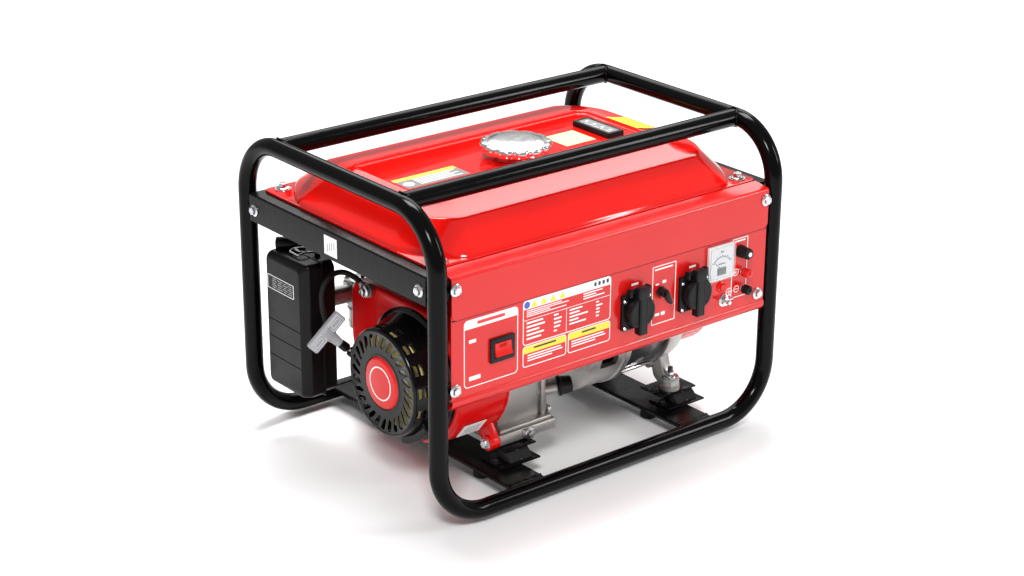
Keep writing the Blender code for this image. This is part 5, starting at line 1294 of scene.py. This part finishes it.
def build_handle():
    rope_end = GUIDE + PULL * 0.003
    centre = GUIDE + PULL * GRIP_REACH
    third = PULL.cross(GRIP).normalized()
    side = GRIP.cross(third).normalized()
    if side.dot(PULL) < 0:
        side, third = -side, -third
    basis = Matrix((GRIP, side, third)).transposed().to_4x4()
    place = Matrix.Translation(centre) @ basis
    half = 0.0305
    outline = rounded((-half, -0.0085), (half, 0.0085), 0.0035, 5)
    bar = prism(outline, "Z", -0.0058, 0.0058)
    bmesh.ops.bevel(bar, geom=[e for e in bar.edges if abs(e.verts[0].co.z - e.verts[1].co.z) < 1e-6],
                    offset=0.0022, segments=3, affect="EDGES", profile=0.5)
    neck = lofted([[(u * w, v, t * w) for u, t in arc((0, 0), 1.0, 0, 337.5, 15)]
                   for v, w in ((0.004, 0.0125), (-0.0060, 0.0112), (-0.0090, 0.0092), (-0.0130, 0.0072),
                                (-0.0220, 0.0062), (-0.0330, 0.0058), (-0.0345, 0.0050))])
    for v in neck.verts:
        v.co.z *= 0.66
    lines = []
    for side_z in (-1, 1):
        for half_bar in (-1, 1):
            middle = half_bar * 0.0170
            for inset in (0.0, 0.0030):
                a, b = 0.0100 - inset, 0.0058 - inset
                path = [Vector((middle + u, v, side_z * 0.0059)) for u,
                        v in rounded((-a, -b), (a, b), 0.0012, 3)]
                lines.append(swept(path, 0.00060, 6, closed=True))
        path = [Vector((u, v, side_z * 0.0059)) for u,
                v in rounded((-0.0042, -0.0040), (0.0042, 0.0040), 0.0012, 3)]
        lines.append(swept(path, 0.00060, 6, closed=True))
    body = moved(gathered([bar, neck]), place)
    piece("pull_handle", "grey_plastic", body, "starter_handle", ("starter_handle",), angle=40)
    # The raised outline ridges are real, and their lighter grey is a painted highlight along them.
    piece("pull_handle_relief", "relief_painted_highlight", moved(gathered(lines), place), "starter_handle")
    ferrule = moved(turned([(0.0, 0.0022), (0.0, 0.0050), (0.0012, 0.0060), (0.0030, 0.0066),
                            (0.0125, 0.0062),
                            (0.0135, 0.0052),
                            (0.0135, 0.0022)], (0, 0), "Z", 32), facing(rope_end + PULL * 0.0005, PULL))
    piece("pull_ferrule", "recoil_black", ferrule, "starter_handle")

    start = GUIDE - PULL * 0.022
    finish = rope_end + PULL * 0.002
    rings = 90
    path = [start.lerp(finish, k / rings) for k in range(rings + 1)]
    rope = swept(path, 0.0018, 10)
    bmesh.ops.translate(rope, vec=SHIFT, verts=rope.verts)
    obj = as_object("pull_rope", rope)
    obj.data.shade_smooth()
    obj.data.materials.append(FINISHES["rope"])
    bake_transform(obj)
    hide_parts("starter_rope")


AIR_Y, AIR_Z = (0.087, 0.178), (0.080, 0.272)
AIR_FACE, AIR_SEAM, AIR_BACK = -0.285, -0.252, -0.232


def build_air_cleaner():
    (y0, y1), (z0, z1) = AIR_Y, AIR_Z
    face, seam, back = AIR_FACE, AIR_SEAM, AIR_BACK
    deep = 0.011                     # how far back the rounded top and the chamfered side reach

    def ring(x, near, far, low, high, radius):
        return [(x, y, z) for y, z in rounded((y0 + near, z0 + low), (y1 - far, z1 - high), radius, 6)]

    rings = [ring(seam - 0.0004, 0, 0, 0, 0, 0.007), ring(face + deep + 0.001, 0, 0, 0, 0, 0.007)]
    for k in range(15):
        a = math.pi / 2 * k / 14
        out = deep * math.sin(a)
        near = 0.0095 * max(0.0, (out - 0.0004) / deep)
        small = min(1.0, max(0.0, (out - deep + 0.0045) / 0.0045))
        edge = 0.0045 * (1 - math.sqrt(1 - small * small))
        rings.append(ring(face + deep - out, near + 0.35 * edge, edge, edge, 0.0115 * (1 - math.cos(a)),
                          0.007))
    shell = lofted(rings)
    grooves = [slab((face - 0.002, y0 + 0.0108, z - 0.0007), (face + 0.0012, y1 + 0.002, z + 0.0007))
               for z in (0.1755, 0.1505, 0.1225)]
    inside = slab((face + 0.012, y0 + 0.006, z0 + 0.006), (seam + 0.01, y1 - 0.006, z1 - 0.006))
    shell = combined(shell, cuts=[inside, *grooves])
    lip = slab((seam - 0.0034, y0 - 0.0012, z0 - 0.0010), (seam - 0.0004, y1 + 0.0012, z1 + 0.0010), 0.0010,
               2)
    hollow = slab((seam - 0.01, y0 + 0.006, z0 + 0.006), (seam + 0.01, y1 - 0.006, z1 - 0.006))
    lip = combined(lip, cuts=[hollow])
    piece("filter_cover", "filter_plastic", gathered([shell, lip]), stands_for=("air_cleaner_cover",),
          angle=30)

    hinge_x, mid = seam + 0.010, (y0 + y1) / 2
    rear = prism(rounded((y0 + 0.001, z0 + 0.001), (y1 - 0.001, z1 - 0.001), 0.012, 6), "X", seam + 0.0003,
                 back)
    bmesh.ops.bevel(rear, geom=[e for e in rear.edges if all(v.co.x > back - 1e-5 for v in e.verts)],
                    offset=0.003,
                    segments=3, affect="EDGES", profile=0.5)
    room = slab((seam - 0.01, y0 + 0.005, z0 + 0.005), (back - 0.003, y1 - 0.005, z1 - 0.005))
    port = rod((back - 0.01, 0.125, 0.203), (back + 0.01, 0.125, 0.203), 0.011, 36)
    rear = combined(rear, cuts=[room, port])
    lugs = []
    for side in (-1, 1):
        ys = sorted((mid + side * 0.0158, mid + side * 0.0195))
        for low, high in ((z0 - 0.006, z0 + 0.0035), (z1 - 0.0035, z1 + 0.006)):
            lugs.append(slab((hinge_x - 0.004, ys[0], low), (hinge_x + 0.004, ys[1], high), 0.001, 2))
    lugs.append(rod((-0.2690, 0.1745, z1 + 0.0070), (-0.2460, 0.1535, z1 + 0.0070), 0.0088, 40, bevel=0.0022))
    lugs.append(slab((seam + 0.001, mid + 0.021, z1 - 0.003), (back - 0.003, y1 - 0.003, z1 + 0.004), 0.001,
                     2))
    stub = rod((-0.2420, y0 - 0.0060, 0.1665), (-0.2420, y0 + 0.003, 0.1665), 0.0055, 24, bevel=0.0005)
    lugs.append(stub)
    piece("filter_body", "filter_plastic", gathered([rear, *lugs]), stands_for=("air_cleaner_body",),
          angle=40)
    for label, z, lift in (("top", z1 + 0.003, 0.0015), ("bottom", z0 - 0.003, -0.0015)):
        far_x = hinge_x - 0.026
        corners = [(hinge_x, mid - 0.0155, z), (hinge_x, mid - 0.011, z),
                   (far_x + 0.010, mid - 0.011, z + 2.2 * lift),
                   (far_x, mid - 0.011, z + 0.6 * lift), (far_x, mid + 0.011, z + 0.6 * lift),
                   (far_x + 0.010, mid + 0.011, z + 2.2 * lift), (hinge_x, mid + 0.011, z),
                   (hinge_x, mid + 0.0155, z)]
        wire = swept(filleted(corners, 0.0022, 5), 0.0013, 12)
        latch = swept(filleted([(far_x + 0.013, mid - 0.0105, z + 2 * lift),
                                (far_x + 0.005, mid - 0.005, z + 3 * lift),
                                (far_x + 0.005, mid + 0.005, z + 3 * lift),
                                (far_x + 0.013, mid + 0.0105, z + 2 * lift)],
                               0.002, 4), 0.0011, 12)
        piece(f"filter_clip_{label}", "zinc", gathered([wire, latch]), f"air_clip_{label}",
              (f"air_clip_{label}",))
    low, high = (0.1105, 0.2205), (0.1725, 0.2395)
    frame_line = [Vector((face - 0.0001, y, z)) for y, z in rounded(low, high, 0.0010, 4)]
    piece("filter_label_frame", "white_print", swept(frame_line, 0.00055, 6, closed=True))
    bars = []
    for k in range(5):
        y, z = low[0] + 0.004, low[1] + 0.0030 + 0.0030 * k
        for width in ((0.010, 0.006, 0.013, 0.008), (0.007, 0.012, 0.008, 0.011))[k % 2]:
            bars.append(slab((face - 0.0003, y, z), (face + 0.0002, y + width, z + 0.0010)))
            y += width + 0.0030
    piece("filter_label_bars", "grey_plastic", gathered(bars))


def build_fuel_line():
    """The strainer on the shroud's corner, and the breather hose from there to the air cleaner."""
    at = Vector((-0.2128, 0.0345, 0.2410))
    body = [rod(at, at + Vector((-0.0070, 0, 0)), 0.0098, 32, bevel=0.0012),
            rod(at + Vector((-0.0065, 0, 0)), at + Vector((-0.0105, 0, 0)), 0.0068, 28, bevel=0.0006),
            rod(at + Vector((-0.0050, 0.004, 0.002)), at + Vector((-0.0070, 0.0125, 0.0075)), 0.0046, 20,
                bevel=0.0006)]
    piece("strainer_body", "engine_casting", gathered(body))
    piece("strainer_nut", "zinc",
          flange_bolt(at + Vector((-0.0102, 0, 0)), (-1, 0, 0), 0.0098, 0.0088, 0.0058, 0.2))
    corners = [(-0.2190, 0.0440, 0.2470), (-0.2195, 0.0580, 0.2515), (-0.2240, 0.0720, 0.2555),
               (-0.2340, 0.0775, 0.2575),
               (-0.2450, 0.0780, 0.2552), (-0.2565, 0.0780, 0.2465), (-0.2618, 0.0780, 0.2320),
               (-0.2608, 0.0780, 0.2100),
               (-0.2550, 0.0785, 0.1890), (-0.2465, 0.0790, 0.1735), (-0.2420, 0.0815, 0.1665)]
    path = [Vector(row) for row in catmull(corners, 5)]
    piece("breather_hose", "rubber", swept(path, 0.0038, 16))


# ---------------------------------------------------------------- muffler and carburettor
def capsule_slot(centre, half, radius, depth):
    """A round-ended slot along X, cut through a sheet that faces Y."""
    x, y, z = centre
    outline = [*arc((x + half, z), radius, -90, 90, 6), *arc((x - half, z), radius, 90, 270, 6)]
    return prism(outline, "Y", y - depth, y + depth)


def build_muffler():
    head_right, port_y, port_z = -0.0337, 0.108, 0.206
    shell = slab((0.000, 0.100, 0.150), (0.190, 0.186, 0.262), 0.016, 6)
    beads = []
    for x in (0.030, 0.095, 0.160):
        for y in (0.120, 0.166):
            beads.append(slab((x - 0.016, y - 0.006, 0.2600), (x + 0.016, y + 0.006, 0.2634), 0.0016, 3))
    seam = prism(rounded((-0.0032, 0.1468), (0.1932, 0.2652), 0.017, 8), "Y", 0.1416, 0.1440)
    bmesh.ops.bevel(seam, geom=seam.edges, offset=0.0006, segments=2, affect="EDGES", profile=0.5)
    pipe = swept(filleted([(head_right + 0.0030, port_y, port_z), (-0.016, port_y + 0.004, port_z),
                           (-0.004, 0.124, 0.2055), (0.006, 0.135, 0.205)], 0.006, 5), 0.0110, 24)
    flange = slab((head_right, port_y - 0.016, port_z - 0.015),
                  (head_right + 0.005, port_y + 0.016, port_z + 0.015),
                  0.0015, 2)
    start, finish = Vector((0.165, 0.165, 0.175)), Vector((0.200, 0.190, 0.175))
    way = (finish - start).normalized()
    outlet = moved(turned([(0, 0.0072), (0, 0.0090), (0.0410, 0.0090), (0.0418, 0.0098), (0.0430, 0.0098),
                           (0.0430, 0.0072)], (0, 0), "Z", 32), facing(start, way))
    ring = moved(turned([(0.012, 0.0090), (0.012, 0.0128), (0.0145, 0.0128), (0.0145, 0.0090)], (0, 0), "Z",
                        32),
                 facing(start, way))
    piece("muffler_shell", "muffler_skin", gathered([shell, *beads, seam, pipe, flange, outlet, ring]),
          stands_for=("muffler",), angle=40)

    sheet = prism(rounded((0.012, 0.160), (0.178, 0.252), 0.010, 6), "Y", 0.1915, 0.1927)
    slots = [capsule_slot((0.038 + 0.038 * column, 0.192, 0.1770 + 0.0097 * row), 0.0125, 0.0024, 0.004)
             for column in range(4) for row in range(7)]
    guard = combined(sheet, cuts=[gathered(slots)])
    rims = [Vector((x, 0.1921, z)) for x, z in rounded((0.0128, 0.1608), (0.1772, 0.2512), 0.0095, 6)]
    posts = [rod((x, 0.1840, z), (x, 0.1916, z), 0.0045, 20) for x in (0.021, 0.169) for z in (0.1675,
                                                                                               0.2445)]
    piece("muffler_guard", "guard_steel", gathered([guard, swept(rims, 0.0013, 8, closed=True), *posts]))
    screws = [flange_bolt((x, 0.1927, z), (0, 1, 0), 0.0062, 0.0050, 0.0032, x * 9)
              for x in (0.021, 0.169) for z in (0.1675, 0.2445)]
    screws += [flange_bolt((head_right + 0.005, port_y + side * 0.0112, port_z - side * 0.0100), (1, 0, 0),
                           0.0062,
                           0.0052, 0.0045, 0.3) for side in (-1, 1)]
    piece("muffler_screws", "steel", gathered(screws))


def build_carburettor_details():
    """The small parts on the carburettor's casting: bowl seam, drain and mounting screws."""
    bowl = [turned([(0.1785, 0.0175), (0.1785, 0.0196), (0.1812, 0.0196), (0.1812, 0.0175)], (-0.170, 0.118),
                   "Z", 40),
            turned([(0.1600, 0.0172), (0.1600, 0.0186), (0.1612, 0.0186), (0.1612, 0.0172)], (-0.170, 0.118),
                   "Z", 40)]
    bowl.append(slab((-0.1885, 0.1020, 0.2195), (-0.1515, 0.1340, 0.2225), 0.0008, 2))
    piece("carb_seams", "cast_aluminium", gathered(bowl))
    screws = [flange_bolt((-0.170, 0.118, 0.1520), (0, 0, -1), 0.0075, 0.0060, 0.0050, 0.1),
              flange_bolt((-0.170, 0.1355, 0.1655), (0, 1, 0), 0.0050, 0.0040, 0.0036, 0.1)]
    screws += [flange_bolt((x, y, 0.2225), (0, 0, 1), 0.0036, 0.0030, 0.0020, 0.4)
               for x in (-0.1845, -0.1555) for y in (0.1060, 0.1300)]
    screws.append(rod((-0.160, 0.1345, 0.205), (-0.160, 0.1450, 0.205), 0.0026, 20, bevel=0.0004))
    spring = [Vector((-0.160 + 0.0034 * math.cos(0.7 * k), 0.1352 + 0.00016 * k,
                      0.205 + 0.0034 * math.sin(0.7 * k)))
              for k in range(46)]
    screws.append(swept(spring, 0.00045, 6))
    piece("carb_screws", "zinc", gathered(screws))


# ---------------------------------------------------------------- alternator
def build_alternator():
    left, right = -0.0297, 0.0932
    bell = turned([(left, 0.046), (left, 0.0600), (left + 0.004, 0.0610), (0.0020, 0.0635), (0.0130, 0.0720),
                   (0.0200, 0.0840), (0.0240, 0.0873), (0.0300, 0.0885), (0.0800, 0.0885), (0.0815, 0.0905),
                   (0.0910, 0.0905), (right, 0.0890), (right, 0.0805), (0.030, 0.0805), (0.024, 0.078),
                   (0.006, 0.056), (0.000, 0.050), (0.000, 0.046)], sides=96)
    vents = []
    for k in range(6):
        vent = slab((0.040, 0.070, -0.014), (0.070, 0.095, 0.014), 0.003, 3)
        moved(vent, Matrix.Translation((0, *CRANK)) @ Matrix.Rotation(math.radians(60 * k + 75), 4, "X"))
        vents.append(vent)
    bell = combined(bell, cuts=vents)
    ribs = []
    for k in range(8):
        rib = slab((-0.026, 0.0500, -0.0018), (0.0215, 0.0800, 0.0018), 0.0008, 2)
        for v in rib.verts:
            if v.co.x < 0:
                v.co.y = min(v.co.y, 0.0645)
        moved(rib, Matrix.Translation((0, *CRANK)) @ Matrix.Rotation(math.radians(45 * k + 20), 4, "X"))
        ribs.append(rib)
    piece("front_bell", "cast_aluminium", gathered([bell, *ribs]), stands_for=("alternator_front_bracket",),
          angle=38)

    core = turned([(0.0935, 0.052), (0.0935, 0.0795), (0.0945, 0.0800), (0.1655, 0.0800), (0.1665, 0.0795),
                   (0.1665, 0.052)], sides=96)
    piece("stator_core", "laminations", core, stands_for=("stator",))
    bolts, nuts = [], []
    rear = 0.1668
    for k in range(4):
        angle = math.atan2(-0.889, -0.458) + k * math.pi / 2
        y, z = CRANK[0] + 0.0845 * math.cos(angle), CRANK[1] + 0.0845 * math.sin(angle)
        bolts.append(rod((0.078, y, z), (0.2050, y, z), 0.0029, 24, bevel=0.0006))
        nuts.append(flange_bolt((0.1945, y, z), (1, 0, 0), 0.0090, 0.0078, 0.0062, 0.3 * k))
    piece("through_bolts", "chrome", gathered(bolts))
    piece("through_bolt_nuts", "zinc", gathered(nuts))

    bracket = turned([(rear, 0.074), (rear, 0.0850), (rear + 0.0015, 0.0865), (rear + 0.0100, 0.0860),
                      (rear + 0.030, 0.0820), (rear + 0.0400, 0.0740), (rear + 0.044, 0.070),
                      (rear + 0.046, 0.060),
                      (rear + 0.046, 0.0103), (rear + 0.036, 0.0103), (rear + 0.036, 0.060),
                      (rear + 0.028, 0.074)],
                     sides=96)
    shapes, hardware, studs = [bracket], [], []
    for k in range(4):
        angle = math.atan2(-0.889, -0.458) + k * math.pi / 2
        y, z = CRANK[0] + 0.0835 * math.cos(angle), CRANK[1] + 0.0835 * math.sin(angle)
        shapes.append(rod((rear, y, z), (0.1945, y, z), 0.0088, 32, bevel=0.001))
    for front in (True, False):
        arm_line = [(-0.1475, BASE_Z + 0.002), (-0.1455, 0.0620), (-0.1300, 0.0700), (-0.1240, 0.0850),
                    (-0.1200, 0.1020), (-0.0930, 0.0880), (-0.1040, 0.0740), (-0.1080, 0.0600),
                    (-0.1220, BASE_Z + 0.002)]
        arm = prism(softened(arm_line, 2), "X", 0.1705, 0.1875)
        bmesh.ops.bevel(arm, geom=[e for e in arm.edges if abs(e.verts[0].co.x - e.verts[1].co.x) < 1e-6],
                        offset=0.0018, segments=3, affect="EDGES", profile=0.5)
        centre = (0.178, -0.136)
        boss = turned([(BASE_Z, 0), (BASE_Z, 0.0138), (BASE_Z + 0.0045, 0.0138), (BASE_Z + 0.0062, 0.0105),
                       (0.0600, 0.0098), (0.0618, 0.0128), (0.0655, 0.0128), (0.0660, 0)], centre, "Z", 48)
        washer = turned([(0.0662, 0.0032), (0.0662, 0.0115), (0.0678, 0.0115), (0.0678, 0.0032)], centre, "Z",
                        36)
        nut = flange_bolt((*centre, 0.0678), (0, 0, 1), 0.0100, 0.0085, 0.0070, 0.25)
        stud = rod((*centre, 0.0700), (*centre, 0.0815), 0.0036, 20, bevel=0.0008)
        for shape, group in ((arm, shapes), (boss, shapes), (washer, hardware), (nut, hardware),
                             (stud, studs)):
            group.append(shape if front else mirrored(shape, 1, CRANK[0]))
    piece("rear_bracket", "cast_aluminium", gathered(shapes), stands_for=("alternator_rear_bracket",),
          angle=38)
    piece("foot_nuts", "zinc", gathered(hardware))
    piece("foot_studs", "dark_steel", gathered(studs))
    start, end = rear + 0.0463, 0.262
    cover = turned([(start, 0.0665), (start, 0.0690), (end - 0.0070, 0.0690), (end - 0.0030, 0.0678),
                    (end - 0.0008, 0.0652), (end, 0.0620), (end, 0.0300), (end - 0.0015, 0.0285),
                    (end - 0.0015, 0),
                    (end - 0.0040, 0), (end - 0.0040, 0.0600), (end - 0.0080, 0.0660)], sides=96)
    holes = []
    for k in range(18):
        slot = prism([*arc((0.0570, 0), 0.0018, -90, 90, 5), *arc((0.0385, 0), 0.0018, 90, 270, 5)], "X",
                     end - 0.012, end + 0.004)
        holes.append(moved(slot,
                           Matrix.Translation((0, *CRANK)) @ Matrix.Rotation(2 * math.pi * k / 18, 4, "X")))
    piece("end_cap", "shroud_red", combined(cover, cuts=[gathered(holes)]),
          stands_for=("alternator_end_cover",),
          angle=38)
    caps = [flange_bolt((end - 0.0005, CRANK[0] + 0.0635 * math.cos(a), CRANK[1] + 0.0635 * math.sin(a)),
                        (1, 0, 0),
                        0.0065, 0.0052, 0.0035, a) for a in (math.radians(d) for d in (45, 165, 285))]
    piece("end_cap_screws", "zinc", gathered(caps))


def dress_cad_nodes():
    """Finishes for the CAD nodes that no piece stands for, with their sharp edges softened."""
    slots = {s["node"]: s["material_slot"] for s in frame["record"]["subparts"]}
    special = {"cross_member_left": "member_black", "cross_member_right": "member_black",
               "tank_lower": "tube_paint"}
    for name, node in frame["nodes"].items():
        node.data.materials.clear()
        node.data.materials.append(FINISHES[special.get(name, NODE_FINISH[slots[name]])])
        node.data.shade_smooth()
        weld = node.modifiers.new("weld", "WELD")
        weld.merge_threshold = 0.00001
        round_edges(node, 0.0005)
        node.modifiers.new("normals", "WEIGHTED_NORMAL").keep_sharp = False


# ---------------------------------------------------------------- stage
WORLD_STRENGTH = 0.40
LIGHTS = (
    ("key", (-1.7, -1.9, 2.5), 0.7, 0.7, 74.0),
    ("fill", (2.1, -2.2, 1.6), 0.35, 1.3, 28.0),
    ("top", (0.3, 0.7, 2.8), 1.6, 0.8, 92.0),
    ("back", (2.0, 2.3, 2.75), 3.0, 1.9, 56.0),
)
CAMERA_AT = (-1.77664, -2.18214, 1.32531)
CAMERA_ANGLES = (39.170, 21.772, 0.335)      # yaw, pitch and roll, in degrees
LENS_MM, SENSOR_MM = 77.21, 36.0


def build_stage():
    n = Nodes("studio_floor")
    tone = n.blend(n.noise(3.0, 2.0), (0.90, 0.90, 0.905), (0.93, 0.93, 0.93))
    n.finish(tone, n.span(n.noise(8.0, 3.0), 0.3, 0.7, 0.55, 0.65))
    floor = as_object("studio_floor", slab((-15, -15, -0.02), (15, 15, -0.0001)))
    floor.data.materials.append(n.material)

    bpy.context.scene.view_settings.view_transform = "Standard"
    world = bpy.data.worlds.new("studio")
    bpy.context.scene.world = world
    world.use_nodes = True
    background = world.node_tree.nodes["Background"]
    background.inputs["Color"].default_value = (1.0, 1.0, 1.0, 1.0)
    background.inputs["Strength"].default_value = WORLD_STRENGTH
    middle = Vector((0, 0, 0.22))
    for name, at, size, size_y, power in LIGHTS:
        data = bpy.data.lights.new(name, "AREA")
        data.shape, data.size, data.size_y, data.energy = "RECTANGLE", size, size_y, power
        lamp = bpy.data.objects.new(name, data)
        bpy.context.scene.collection.objects.link(lamp)
        lamp.location = at
        lamp.rotation_euler = (middle - Vector(at)).to_track_quat("-Z", "Y").to_euler()


def build_camera():
    yaw, pitch, roll = (math.radians(a) for a in CAMERA_ANGLES)
    forward = Vector((math.sin(yaw) * math.cos(pitch), math.cos(yaw) * math.cos(pitch), -math.sin(pitch)))
    right = Vector((math.cos(yaw), -math.sin(yaw), 0))
    up = right.cross(forward)
    across = right * math.cos(roll) + up * math.sin(roll)
    upward = up * math.cos(roll) - right * math.sin(roll)
    data = bpy.data.cameras.new("camera")
    data.lens, data.sensor_width = LENS_MM, SENSOR_MM
    data.clip_start, data.clip_end = 0.05, 100.0
    camera = bpy.data.objects.new("camera", data)
    bpy.context.scene.collection.objects.link(camera)
    basis = Matrix((across, upward, -forward)).transposed().to_4x4()
    camera.matrix_world = Matrix.Translation(Vector(CAMERA_AT) + SHIFT) @ basis
    bpy.context.scene.camera = camera


dress_cad_nodes()
build_frame()
build_end_plates()
build_mounts()
build_tank()
build_panel()
build_switch()
build_sockets()
build_controls()
build_engine()
build_shroud()
build_recoil()
build_handle()
build_air_cleaner()
build_fuel_line()
build_muffler()
build_carburettor_details()
build_alternator()
build_stage()
build_camera()
